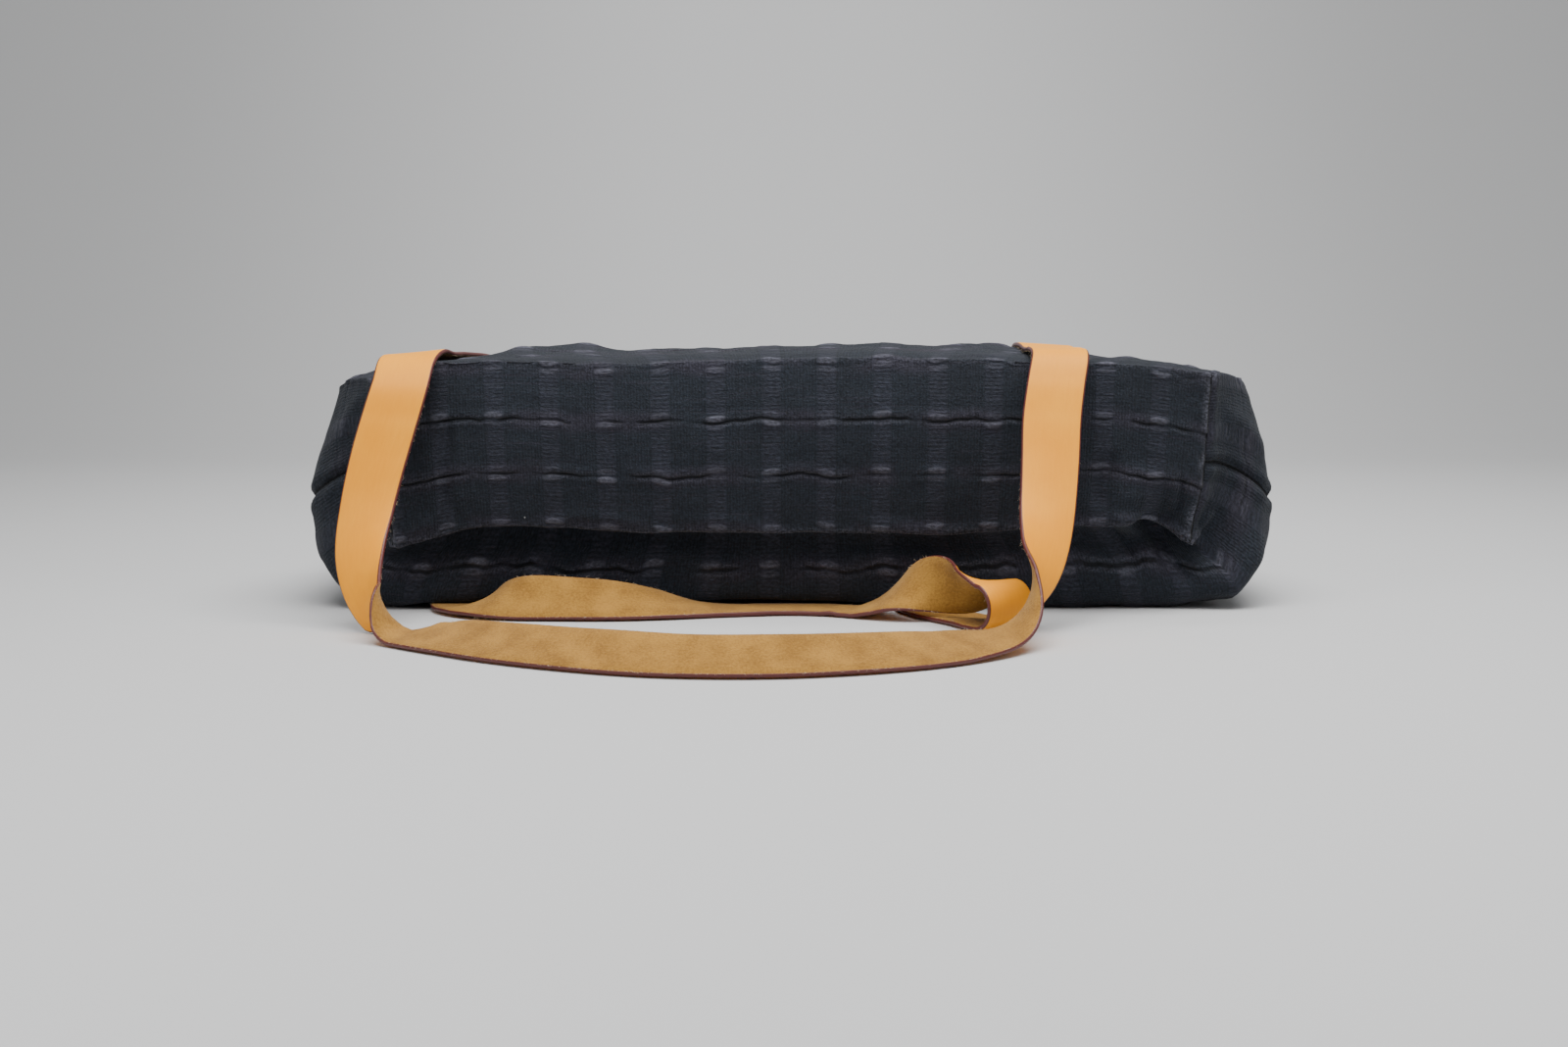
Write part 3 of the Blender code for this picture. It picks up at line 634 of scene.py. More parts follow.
class Shell:
    """The bag's outer face: points, quads, and for each corner of a quad its place on the cloth."""

    def __init__(self, columns, rows, rings):
        half = BASE_LENGTH / 2
        self.rings = rings
        grid_across, grid_up = np.linspace(-1, 1, columns + 1), np.linspace(0, 1, rows + 1)
        across, up = np.meshgrid(grid_across, grid_up, indexing="ij")
        base = base_points(across, up)

        # The border of the base's grid, once round
        level, rise = np.arange(columns), np.arange(rows)
        right_and_left = (np.full(rows + 1, columns), level[::-1], np.zeros(rows, int), level[1:])
        i_edge = np.concatenate(right_and_left)
        up_and_down = (np.arange(rows + 1), np.full(columns, rows), rise[::-1])
        j_edge = np.concatenate((*up_and_down, np.zeros(columns - 1, int)))
        a, b = across[i_edge, j_edge], up[i_edge, j_edge]
        self.upper = b >= 0.5
        self.both_upper = self.upper & np.roll(self.upper, -1)
        down = np.where(np.abs(a) > 1 - TINY, np.where(self.upper, 1 - b, b) * GUSSET, 0)
        self.share = (np.abs(a) * half + down) / (half + GUSSET / 2)
        self.side = np.where(a < 0, -1.0, 1.0)
        self.border = len(a)
        start = body_points(self.side, self.upper, self.share, np.zeros(self.border))
        points = [base.reshape(-1, 3)]
        for along in rings:
            ring = body_points(self.side, self.upper, self.share, np.full(self.border, along))
            points.append(ring + (base[i_edge, j_edge] - start) * (1 - eased(along / EDGE_FADE)))
        self.points = laid_over_strap(dented(np.concatenate(points)))

        # Places on the cloth, a vertex at a time
        self.around = self.side * self.share * (half + GUSSET / 2) / MM
        flat = [np.stack([across * half, up * GUSSET], axis=-1).reshape(-1, 2) / MM]
        for along in rings:
            flat.append(np.stack([self.around, self.climb(self.upper, along)], axis=-1))
        self.flat = np.concatenate(flat)

        # Quads, and the places of their corners
        grid = np.arange(across.size).reshape(across.shape)
        square = [grid[:-1, :-1], grid[1:, :-1], grid[1:, 1:], grid[:-1, 1:]]
        quads = [np.stack([corner.ravel() for corner in square], axis=-1)]
        corners = [self.flat[quads[0]]]
        self.loops = [grid[i_edge, j_edge]]
        for ring in range(len(rings)):
            self.loops.append(grid.size + ring * self.border + np.arange(self.border))
        for near, far, low, high in zip(self.loops[:-1], self.loops[1:], (0.0, *rings), rings):
            low, high = self.climb(self.both_upper, low), self.climb(self.both_upper, high)
            faces, places = band(near, far, self.around, low, high)
            quads.append(faces)
            corners.append(places)
        self.quads = np.concatenate(quads)
        self.corners = np.concatenate(corners)

    def climb(self, upper, along):
        """How far up the cloth, in millimetres, from the base's lower fold."""
        return np.where(upper, GUSSET + along * BODY_HEIGHT, -along * BODY_HEIGHT) / MM


def normals_of(points, quads):
    """Vertex normals of a mesh of quads."""
    first = points[quads[:, 2]] - points[quads[:, 0]]
    second = points[quads[:, 3]] - points[quads[:, 1]]
    faces = np.cross(first, second)
    total = np.zeros_like(points)
    for corner in range(4):
        np.add.at(total, quads[:, corner], faces)
    return total / np.maximum(np.linalg.norm(total, axis=1), 1e-12)[:, None]


def perlin(places, reach, seed):
    """Perlin noise, from about -1 to 1, at places in millimetres."""
    shift = Vector((seed * 17.3, seed * 5.9, seed * 11.1))
    return np.array([noise.noise(Vector(place) / reach + shift) for place in places])


def bump(distance, wide):
    return np.exp(-((distance / wide) ** 2))


def crease_heights(flat):
    """The rise of the creases, in millimetres, at places on the cloth."""
    rows = table(CREASES)
    total = np.zeros(len(flat))
    for row in range(len(rows["wide"])):
        start = np.array([rows["from_u"][row], rows["from_v"][row]])
        run = np.array([rows["to_u"][row], rows["to_v"][row]]) - start
        length = np.linalg.norm(run)
        along = (flat - start) @ run / length
        off = (flat - start) @ np.array([-run[1], run[0]]) / length
        sway = 0.05 * length * np.sin(along / length * 5 + row)
        fade = eased((along / length) / 0.3) * eased((1 - along / length) / 0.3)
        total += rows["rise"][row] * fade * bump(off - sway, rows["wide"][row])
    return total


def cloth_perlin(u, v, reach, seed):
    """The same noise at places on the cloth."""
    return perlin(np.stack([u, v, np.zeros_like(u)], axis=-1), reach, seed)


def row_marks(flat):
    """How far each puckered row wanders from straight, in millimetres, and how sharp it is there."""
    row = np.round((flat[:, 1] - FIRST_ROW) / ROW_PANE)
    u, apart = flat[:, 0], row * NOISE_APART
    wander = ROW_WANDER * (cloth_perlin(u, apart, 19.0, 1) + 0.5 * cloth_perlin(u, apart, 6.0, 2))
    usual = np.interp(row, *table(ROW_STRENGTHS).values()) * off_the_sides(flat)
    return wander, np.clip((0.60 + 1.5 * cloth_perlin(u, apart, 11.0, 3)) * usual, 0.0, 1.0)


def off_the_sides(flat):
    """1 on the base and the two panels, and falling to a third on the bag's ends."""
    return 1 - SIDE_LOSS * eased((np.abs(flat[:, 0]) - BASE_LENGTH / 2 / MM) / SIDE_FADE)


def chance(column, row, seeds):
    """A number from 0 to 1 for each crossing, the same in every run."""
    first, second, scale = seeds
    return np.abs(np.sin(column * first + row * second) * scale) % 1.0


def pad_marks(flat):
    """The pale pad where each row crosses a column: on which side of the crease, how strong."""
    column = np.round((flat[:, 0] - FIRST_COLUMN) / PANE)
    row = np.round((flat[:, 1] - FIRST_ROW) / ROW_PANE)
    above = (chance(column, row, SIDE_SEEDS) < 0.62) | (row == 0)
    strength = 0.45 + 0.55 * chance(column, row, STRENGTH_SEEDS)
    return np.where(above, 1.0, -1.0), strength * off_the_sides(flat)


def pane_heights(flat):
    """The rise of the windowpane's puckered rows, pads and raised columns, in millimetres."""
    u, v = flat[:, 0], flat[:, 1]
    wander, sharp = row_marks(flat)
    side, strength = pad_marks(flat)
    du = (u - FIRST_COLUMN + PANE / 2) % PANE - PANE / 2
    dv = (v - FIRST_ROW + ROW_PANE / 2) % ROW_PANE - ROW_PANE / 2 - wander
    crossing = strength * bump(du, PAD_HALF_WIDE)
    ridges = bump(dv - ROW_PUFF, 1.7) + 0.6 * bump(dv + ROW_PUFF, 1.7)
    pads = PAD_RISE * crossing * bump(dv - side * ROW_PUFF, PAD_HALF_HIGH)
    groove = ROW_GROOVE * np.maximum(sharp, 0.8 * crossing) * bump(dv, 1.15)
    post = np.round((u - FIRST_COLUMN) / PANE) * NOISE_APART
    uneven = 0.8 + 0.4 * cloth_perlin(post, v, 12.0, 4)
    column = COLUMN_RISE * uneven * eased((6.2 - np.abs(du)) / 3.0)
    crepe = CREPE_RISE * cloth_perlin(u / 9.0, v / 3.2, 1.0, 5)
    return ROW_RIDGE * sharp * ridges + pads - groove + column + crepe


def seam_distances(flat):
    """The distances from the boxed seams and from the side seams, in millimetres."""
    u, v = np.abs(flat[:, 0]), flat[:, 1]
    beside = np.maximum(BASE_LENGTH / 2 / MM - u, 0)
    beyond = np.maximum(np.maximum(-v, v - GUSSET / MM), 0)
    return np.hypot(beside, beyond), (BASE_LENGTH + GUSSET) / 2 / MM - u


def seam_heights(flat):
    """The rise of the seams, their puckers and the base's lower fold, in millimetres."""
    u, v = flat[:, 0], flat[:, 1]
    total = np.zeros(len(flat))
    for distance in seam_distances(flat):
        total += SEAM_ROLL * bump(distance - 4.0, 2.4) - SEAM_DEPTH * bump(distance, 1.5)
        total += SEAM_PUCKER * np.sin((u + v) / 2.1) * bump(distance - 3.0, 3.0)
    under = table(UNDER_FOLD)
    drawn_in = smooth(u, under["along"], under["drawn_in"])
    filled = smooth(u, under["along"], under["filled"])
    fold = eased((BASE_LENGTH / 2 / MM - np.abs(u)) / 12.0)
    total += fold * LIP_RISE * bump(v - 0.9, 1.7)
    return total + fold * (filled * bump(v + 19.0, 11.0) - drawn_in * bump(v + 8.0, 6.0))


def slow_heights(flat, points):
    """Slow waves of the loosely filled panels, in millimetres."""
    waves = table(SLOW_WAVES)
    loose = eased((np.abs(flat[:, 1] - GUSSET / 2 / MM) - GUSSET / 2 / MM - 6.0) / 50.0)
    total = np.zeros(len(flat))
    for row, reach in enumerate(waves["reach"]):
        rise = waves["base_rise"][row] + (waves["rise"][row] - waves["base_rise"][row]) * loose
        total += rise * perlin(points / MM, reach, 6 + row)
    return total


def rolled_under(points):
    """Draws the bag's ends in near the floor, where the loose cloth rolls under."""
    low = np.clip(1 - points[:, 2] / ROLL_HEIGHT, 0, 1)
    ends = eased((np.abs(points[:, 0]) / (BODY_WIDTH / 2) - 0.72) / 0.25)
    inward = ROLL_INWARD * (1 - np.sqrt(1 - low**2)) * ends
    result = points.copy()
    result[:, 0] -= np.sign(points[:, 0]) * inward
    return result


def worn(shell, inward=0.0):
    """The shell's points with all its relief, moved inward by the cloth's thickness if asked."""
    normals = normals_of(shell.points, shell.quads)
    height = pane_heights(shell.flat) + crease_heights(shell.flat)
    height += seam_heights(shell.flat) + slow_heights(shell.flat, shell.points)
    moved = rolled_under(shell.points + normals * (height * MM - inward)[:, None])
    moved[:, 2] = np.maximum(moved[:, 2], FLOOR_REST + inward)
    return laid_over_strap(moved) if not inward else moved


def add_mesh(name, points, quads, corners=None):
    """A mesh object in the frame, from points modelled with y = 0 at the base panel."""
    mesh = bpy.data.meshes.new(name)
    placed = np.array(points, float)
    placed[:, 1] -= PATCH_BACK * BODY_HEIGHT
    mesh.from_pydata(placed.tolist(), [], [[int(v) for v in quad] for quad in quads])
    if corners is not None:
        layer = mesh.uv_layers.new(name="cloth_places")
        layer.data.foreach_set("uv", np.asarray(corners, float).reshape(-1))
    mesh.shade_smooth()
    made = bpy.data.objects.new(name, mesh)
    bpy.context.scene.collection.objects.link(made)
    return made


def set_shares(made, name, values):
    """A named number at each vertex, for the material to read."""
    layer = made.data.attributes.new(name, "FLOAT", "POINT")
    layer.data.foreach_set("value", np.asarray(values, float))


def wear_of(shell):
    """How worn the cloth is, from 0 to 1: at the base's folds and boxed corners."""
    u, v = shell.flat[:, 0], shell.flat[:, 1]
    half, top = BASE_LENGTH / 2 / MM, GUSSET / MM
    seam, _ = seam_distances(shell.flat)
    patches = eased(0.5 + 2.2 * cloth_perlin(u, v, 9.0, 12))
    beside = 0.75 * bump(seam - 2.0, 1.3) * patches * (np.abs(u) < half)
    lower = 0.34 * bump(v - 0.6, 1.3) * (np.abs(u) < half)
    upper = 0.15 * bump(v - top, 1.8) * (np.abs(u) < half)
    corner = 0.9 * bump(np.hypot(np.abs(u) - half, np.minimum(np.abs(v), np.abs(v - top))), 4.0)
    return np.clip(np.maximum.reduce([beside, lower, upper, corner]), 0, 1)


def hem(shell, points, normals):
    """The hem's points, quads and corners: round the rim and back down inside the mouth."""
    rim, before = shell.loops[-1], shell.loops[-2]
    out = points[rim] - points[before]
    out /= np.linalg.norm(out, axis=1)[:, None]
    centre = points[rim] - normals[rim] * HEM_HALF
    reach = BODY_HEIGHT / MM
    rings, heights = [], [reach]
    for degrees in (30, 60, 90, 120, 150, 180):
        angle = math.radians(degrees)
        turned = centre + HEM_HALF * (normals[rim] * math.cos(angle) + out * math.sin(angle))
        turned[:, 2] = np.maximum(turned[:, 2], FLOOR_REST)
        rings.append(turned)
        heights.append(reach + HEM_TURN * degrees / 180)
    for step in range(2, len(shell.rings)):
        ring = shell.loops[-step]
        depth = (1 - shell.rings[-step]) * BODY_HEIGHT
        sunk = 2 * HEM_HALF if depth < HEM_DEPTH else WALL
        rings.append(points[ring] - normals[ring] * sunk)
        heights.append(reach + HEM_TURN + depth / MM)
        if depth >= HEM_DEPTH:
            break
    loops = [rim]
    loops += [len(points) + n * shell.border + np.arange(shell.border) for n in range(len(rings))]
    climbs = [np.where(shell.both_upper, GUSSET / MM + height, -height) for height in heights]
    bands = [
        band(near, far, shell.around, low, high)
        for near, far, low, high in zip(loops[:-1], loops[1:], climbs[:-1], climbs[1:])
    ]
    quads, corners = (np.concatenate(parts) for parts in zip(*bands))
    return np.concatenate(rings), quads, corners


def make_cloth():
    """The bag's outer cloth with its hem, and the inner face of the same cloth."""
    outer = Shell(PANEL_COLUMNS, PANEL_ROWS, fine_rings())
    points = worn(outer)
    normals = normals_of(points, outer.quads)
    extra, hem_quads, hem_corners = hem(outer, points, normals)
    quads = np.concatenate([outer.quads, hem_quads])
    corners = np.concatenate([outer.corners, hem_corners])
    cloth = add_mesh("cloth_outside", np.concatenate([points, extra]), quads, corners)
    shares = (wear_of(outer), *row_marks(outer.flat), *pad_marks(outer.flat))
    for name, values in zip(VERTEX_SHARES, shares):
        set_shares(cloth, name, np.concatenate([values, np.zeros(len(extra))]))

    coarse = (PANEL_COLUMNS // INSIDE_SHARE, PANEL_ROWS // INSIDE_SHARE)
    inner = Shell(*coarse, fine_rings()[1::INSIDE_SHARE])
    inside = add_mesh("cloth_inside", worn(inner, WALL), inner.quads[:, ::-1], inner.corners[:, ::-1])
    return cloth, inside, outer, points, normals


class Surface:
    """The dressed cloth, for laying the handles on and in it."""

    def __init__(self, pieces):
        points, quads, first = [], [], 0
        for piece in pieces:
            mesh = piece.data
            places = np.empty(len(mesh.vertices) * 3)
            mesh.vertices.foreach_get("co", places)
            places = places.reshape(-1, 3)
            places[:, 1] += PATCH_BACK * BODY_HEIGHT
            points += [Vector(place) for place in places]
            quads += [[first + v for v in face.vertices] for face in mesh.polygons]
            first += len(places)
        self.tree = BVHTree.FromPolygons(points, quads)

    def hit(self, x, y, z, way):
        place, _, _, _ = self.tree.ray_cast(Vector((x, y, z)), Vector((0, 0, way)))
        return None if place is None else place.z

    def across(self, x, y, z, way):
        """Heights of the cloth across a strap's width, from three in a row along it. Inside the
        mouth the lowest counts. On top the highest does, but that a slope along the strap is
        allowed for, unless one of the three is off the cloth."""
        offsets = np.linspace(-LAY_HALF, LAY_HALF, LAY_STEPS) * STRAP_WIDTH
        heights = []
        for offset in offsets:
            hits = [self.hit(x + offset, y + along, z, way) for along in (-LAY_REACH, 0.0, LAY_REACH)]
            found = [hit for hit in hits if hit is not None]
            if way > 0:
                heights.append(min(found))
            elif len(found) < len(hits):
                heights.append(max(found))
            else:
                heights.append(max((hits[0] + hits[-1]) / 2, hits[1]))
        return offsets, np.array(heights)


def lengths_along(line):
    """How far along a line of points each one is."""
    return np.concatenate(([0], np.cumsum(np.linalg.norm(np.diff(line, axis=0), axis=1))))


def read_line(length, at, *lines):
    """Lines of points or directions, each read at one length."""
    return [np.array([np.interp(length, at, line[:, axis]) for axis in range(3)]) for line in lines]


def strap_path(stations):
    """A strap's middle line, the way its width points, its grain side and the length so far."""
    centres = np.array([tuple(place) for place, _ in stations])
    widths = np.array([tuple(width) for _, width in stations])
    steps = lengths_along(centres)
    at = [
        np.linspace(a, b, SAMPLES_PER_STATION, endpoint=False)
        for a, b in zip(steps[:-1], steps[1:])
    ]
    at = np.concatenate(at + [[steps[-1]]])
    path = np.stack([smooth(at, steps, centres[:, axis]) for axis in range(3)], axis=-1)
    wide = np.stack([smooth(at, steps, widths[:, axis]) for axis in range(3)], axis=-1)
    run = np.gradient(path, axis=0)
    run /= np.linalg.norm(run, axis=1)[:, None]
    wide -= np.sum(wide * run, axis=1)[:, None] * run
    wide /= np.linalg.norm(wide, axis=1)[:, None]
    grain = np.cross(wide, run)
    below = STRAP_WIDTH / 2 * np.abs(wide[:, 2]) + STRAP_THICKNESS / 2 * np.abs(grain[:, 2])
    path[:, 2] = np.maximum(path[:, 2], below + FLOOR_GAP)
    return path, wide, grain, at


def strap(name, stations, finishes):
    """A leather strap, its grain face along width x run."""
    path, wide, grain, at = strap_path(stations)
    profile = table(STRAP_PROFILE)
    count, turn = len(path), len(profile["across"])
    sway = 1 + 0.012 * np.sin(at / (23 * MM)) + 0.008 * np.sin(at / (9 * MM) + 2)
    points = []
    for across, through in zip(profile["across"], profile["through"]):
        aside = wide * (across * STRAP_WIDTH * sway)[:, None]
        points.append(path + aside + grain * through * STRAP_THICKNESS)
    sizes = (profile["across"] * STRAP_WIDTH, profile["through"] * STRAP_THICKNESS)
    outline = np.stack(sizes, axis=-1)
    round_at = lengths_along(np.append(outline, outline[:1], axis=0))
    quads, corners, slots = [], [], []
    for row in range(turn):
        near, far = row * count, (row + 1) % turn * count
        low, high = round_at[row], round_at[row + 1]
        for n in range(count - 1):
            quads.append((near + n, near + n + 1, far + n + 1, far + n))
            corners += [(at[n], low), (at[n + 1], low), (at[n + 1], high), (at[n], high)]
            slots.append(int(profile["finish"][row]))
    for end in (0, count - 1):
        cap = [row * count + end for row in range(turn)]
        quads.append(cap[::-1] if end else cap)
        corners += [(at[end], across * STRAP_WIDTH) for across in profile["across"]]
        slots.append(1)
    made = add_mesh(name, np.concatenate(points), quads, np.array(corners) / MM)
    for finish in finishes:
        made.data.materials.append(finish)
    made.data.polygons.foreach_set("material_index", slots)
    return made, path, wide, grain, at


class Value:
    """A number or colour in a material's nodes. Python's own signs work on it."""

    def __init__(self, graph, socket):
        self.graph, self.socket = graph, socket

    def __add__(self, other):
        return self.graph.math("ADD", self, other)

    def __sub__(self, other):
        return self.graph.math("SUBTRACT", self, other)

    def __rsub__(self, other):
        return self.graph.math("SUBTRACT", other, self)

    def __mul__(self, other):
        return self.graph.math("MULTIPLY", self, other)

    def __truediv__(self, other):
        return self.graph.math("DIVIDE", self, other)

    def __abs__(self):
        return self.graph.math("ABSOLUTE", self)

    def ramp(self, low, high, start=0.0, end=1.0):
        """start at low, end at high and beyond, eased between."""
        values = (self, low, high, start, end)
        return self.graph.node("MapRange", values, interpolation_type="SMOOTHSTEP")


class Graph:
    """A material's node tree, with short calls for the nodes used here."""

    def __init__(self, name, roughness, specular=0.5, sheen=0.0):
        self.material = bpy.data.materials.new(name)
        self.material.use_nodes = True
        self.tree = self.material.node_tree
        self.shader = self.tree.nodes["Principled BSDF"]
        self.shader.inputs["Roughness"].default_value = roughness
        self.shader.inputs["Specular IOR Level"].default_value = specular
        self.shader.inputs["Sheen Weight"].default_value = sheen
        self.shader.inputs["Sheen Roughness"].default_value = SHEEN_ROUGHNESS

    def set(self, socket, value):
        if isinstance(value, Value):
            self.tree.links.new(value.socket, socket)
        elif isinstance(value, tuple) and len(value) == 3 and socket.type == "RGBA":
            socket.default_value = (*value, 1.0)
        else:
            socket.default_value = value

    def node(self, kind, values=(), output=0, **settings):
        """A new node's output. The values go to its inputs in order, or by their names."""
        node = self.tree.nodes.new("ShaderNode" + kind)
        for name, value in settings.items():
            setattr(node, name, value)
        given = values.items() if isinstance(values, dict) else enumerate(values)
        for key, value in given:
            self.set(node.inputs[key], value)
        return Value(self, node.outputs[output])

    def math(self, operation, *values):
        return self.node("Math", values, operation=operation)

    def mix(self, share, first, second):
        return self.node("Mix", {0: share, 6: first, 7: second}, output=2, data_type="RGBA")

    def split(self, place):
        node = self.tree.nodes.new("ShaderNodeSeparateXYZ")
        self.set(node.inputs[0], place)
        return [Value(self, output) for output in node.outputs]

    def places(self):
        """The two lengths of the piece's own places, in millimetres."""
        return self.split(self.node("UVMap", uv_map="cloth_places"))[:2]

    def vector(self, x, y, z=0.0):
        return self.node("CombineXYZ", (x, y, z))

    def noise(self, place, scale=1.0, detail=2.0, roughness=0.5):
        values = {"Vector": place, "Scale": scale, "Detail": detail, "Roughness": roughness}
        return self.node("TexNoise", values)

    def cells(self, place, scale=1.0):
        return self.node("TexVoronoi", {"Vector": place, "Scale": scale}, output="Distance")

    def share(self, name):
        return self.node("Attribute", output="Fac", attribute_name=name)

    def bump(self, height, depth, strength=1.0):
        values = {"Strength": strength, "Distance": depth, "Height": height}
        self.set(self.shader.inputs["Normal"], self.node("Bump", values))

    def colour(self, value):
        self.set(self.shader.inputs["Base Color"], value)

    def roughness(self, value):
        self.set(self.shader.inputs["Roughness"], value)


def cloth_material():
    """Dark blue crinkled windowpane cloth: its threads, paler columns, puckered rows and pads.
    Lengths are in millimetres, and noise is read so many times finer along the cloth and up it."""
    graph = Graph("crinkled_windowpane", 0.88, specular=0.28, sheen=0.05)
    u, v = graph.places()

    def woven(along, over, detail=3.0, roughness=0.5):
        return graph.noise(graph.vector(u * along, v * over), 1.0, detail, roughness)

    def thread(across, wobble, pitch):
        return graph.math("SINE", (wobble * THREAD_SWAY + across) * (2 * math.pi / pitch))

    def larger(first, second):
        return graph.math("MAXIMUM", first, second)

    def distance(first, second):
        return graph.math("SQRT", first * first + second * second)

    # The windowpane
    du = graph.math("PINGPONG", u - FIRST_COLUMN, PANE / 2)
    wrapped = graph.math("WRAP", v - FIRST_ROW, ROW_PANE / 2, -ROW_PANE / 2)
    dv = wrapped - graph.share("row_wander")
    off = abs(dv)
    column = (woven(0.5, 0.25) * 1.6 + du).ramp(5.3, 4.2)
    sharp = graph.share("row_sharpness")

    # The threads: upright ribs between the columns, level hatching on them
    crepe, fine = woven(0.55, 1.0, 4.0, 0.62), woven(1.3, 1.9, 2.0)
    streak, patch = woven(0.06, 0.85, 2.0), woven(0.035, 0.05)
    ribs = thread(u, woven(0.30, 0.60), RIB_PITCH) * woven(0.8, 0.28).ramp(0.38, 0.60, 0.15, 1.0)
    hatch = thread(v, woven(0.30, 0.45), HATCH_PITCH) * woven(0.16, 0.9).ramp(0.40, 0.64, 0.10, 1.0)
    bare = 1.0 - column
    weave = ribs * bare + hatch * (column * 0.75 + 0.25)
    # Partly painted light: the crepe and thread tone stands in for the highlights and shade of the
    # fine relief, as well as the threads' own uneven tone.
    tone_and_painted_light = crepe.ramp(0.34, 0.68, 0.66, 1.40) * fine.ramp(0.3, 0.7, 0.86, 1.16)
    tone_and_painted_light = tone_and_painted_light * patch.ramp(0.3, 0.7, 0.90, 1.10) * (weave * 0.26 + 1.0)

    banded = column * streak.ramp(0.34, 0.58, 0.30, 1.0) * (hatch * 0.20 + 0.80)
    colour = graph.mix(banded * 0.85, CLOTH_DARK, CLOTH_BAND)
    mauve = off.ramp(7.0, 2.0) * woven(0.028, 0.03).ramp(0.40, 0.60) * 0.55
    slub = woven(0.02, 0.75, 2.0).ramp(0.56, 0.72) * bare * 0.40
    colour = graph.mix(larger(mauve, slub), colour, CLOTH_MAUVE)

    # The crease along each row, darkened with painted shade; the pads at its crossings, partly
    # painted highlight; a painted highlight beside each crease; and wear
    # Painted shade: the colour is darkened along each row's crease, where shade falls in the groove.
    crease_and_shade = off.ramp(0.95, 0.30) * sharp
    # The pads are paler: partly a real paler puff, partly a painted highlight, brightest in the
    # middle where the raised pad catches the light.
    pads = []
    for way, share in ((1.0, 1.0), (-1.0, 0.4)):
        height = dv - graph.share("pad_side") * (way * ROW_PUFF)
        radius = distance(du / PAD_HALF_WIDE, height / PAD_HALF_HIGH)
        pads.append((crepe * 0.5 + radius).ramp(1.45, 0.85) * graph.share("pad_strength") * share)
    pad_and_highlight = larger(*pads)
    # Painted highlight: a pale line along the ridge beside each crease.
    line = abs(off - 1.5).ramp(1.1, 0.3) * sharp * fine.ramp(0.35, 0.65, 0.2, 1.0) * 0.26
    rubbed = graph.share("wear") * crepe.ramp(0.36, 0.60, 0.10, 0.85)
    colour = graph.mix(larger(larger(pad_and_highlight * 0.62, line), rubbed), colour, CLOTH_WORN_AND_HIGHLIGHT)

    # The seams: painted shade, a dark line in the valley between the cloth's rounded edges
    wide = abs(u)
    beside = larger(BASE_LENGTH / 2 / MM - wide, 0.0)
    beyond = larger(larger(v * -1.0, v - GUSSET / MM), 0.0)
    side_seam = (BASE_LENGTH + GUSSET) / 2 / MM - wide
    # Painted shade: the seam's valley is darkened in colour, where shade falls between the rolled
    # edges.
    seam = graph.math("MINIMUM", distance(beside, beyond), side_seam).ramp(0.85, 0.35)

    # Painted shade: the tone is darkened along the row creases and in the seams' valleys.
    tone_and_painted_light = tone_and_painted_light * crease_and_shade.ramp(0.0, 1.0, 1.0, 0.35) * seam.ramp(0.0, 1.0, 1.0, 0.22)
    shaded = graph.node("VectorMath", {0: colour, "Scale": tone_and_painted_light}, operation="SCALE")
    lint = graph.cells(graph.vector(u, v), 0.05).ramp(0.022, 0.012, 0.0, 0.8)
    graph.colour(graph.mix(lint, shaded, LINT_COLOUR))
    graph.bump(fine * 0.30 + crepe * 0.70 + weave * 0.16 + pad_and_highlight * 0.55 - crease_and_shade - seam, CLOTH_BUMP)
    return graph.material


def grain_material():
    graph = Graph("leather_grain", 0.50, specular=0.18)
    s, t = graph.places()
    place = graph.vector(s, t)
    broad = graph.noise(place, 0.035, 3.0)
    fine = graph.noise(graph.vector(s * 0.12, t * 0.9), 1.0, 3.0)
    share = (fine * 0.35 + broad * 0.8).ramp(0.35, 0.85)
    graph.colour(graph.mix(share, GRAIN_DEEP, GRAIN_COLOUR))
    graph.roughness(broad.ramp(0.3, 0.7, 0.44, 0.56))
    graph.bump(graph.cells(place, 1.7) * 0.35 + fine * 0.5, GRAIN_BUMP, 0.5)
    return graph.material


def flesh_material():
    graph = Graph("leather_flesh", 0.95, specular=0.12, sheen=0.12)
    place = graph.vector(*graph.places())
    nap = graph.noise(place, 0.9, 5.0, 0.7)
    share = (graph.noise(place, 0.08, 3.0) * 0.5 + nap * 0.6).ramp(0.38, 0.70)
    graph.colour(graph.mix(share, FLESH_DARK, FLESH_COLOUR))
    graph.bump(nap, FLESH_BUMP, 0.8)
    return graph.material


def edge_material():
    graph = Graph("painted_edge", 0.42, specular=0.45)
    rub = graph.noise(graph.vector(*graph.places()), 0.5, 4.0, 0.7)
    graph.colour(graph.mix(rub.ramp(0.58, 0.75, 0.0, 0.6), EDGE_COLOUR, EDGE_RUBBED))
    graph.bump(rub, EDGE_BUMP, 0.5)
    return graph.material


def plain_material(name, colour, roughness):
    graph = Graph(name, roughness, specular=0.2)
    graph.colour(colour)
    return graph.material


def sewn_end(surface, side, upper):
    """The sewn end inside the mouth, from the strap's end out to the rim."""
    x = side * HANDLE_SPACING / 2
    sign = side if upper else -side
    way = 1 if upper else -1
    rim = rim_place(upper) - RIM_STEP
    stations = []
    for share in (1.0, 0.75, 0.5, 0.25, 0.0):
        eye = MOUTH_EYE * BODY_THICKNESS
        stations.append(lay(surface, (x, rim - share * SEWN_LENGTH), eye, way, SEAT, sign))
    (before, _), (last, width) = stations[-2:]
    step = (last - before).normalized() * 2 * RIM_STEP
    stations.append((last + step - Vector((0, 0, way * RIM_CLEAR)), width))
    return stations


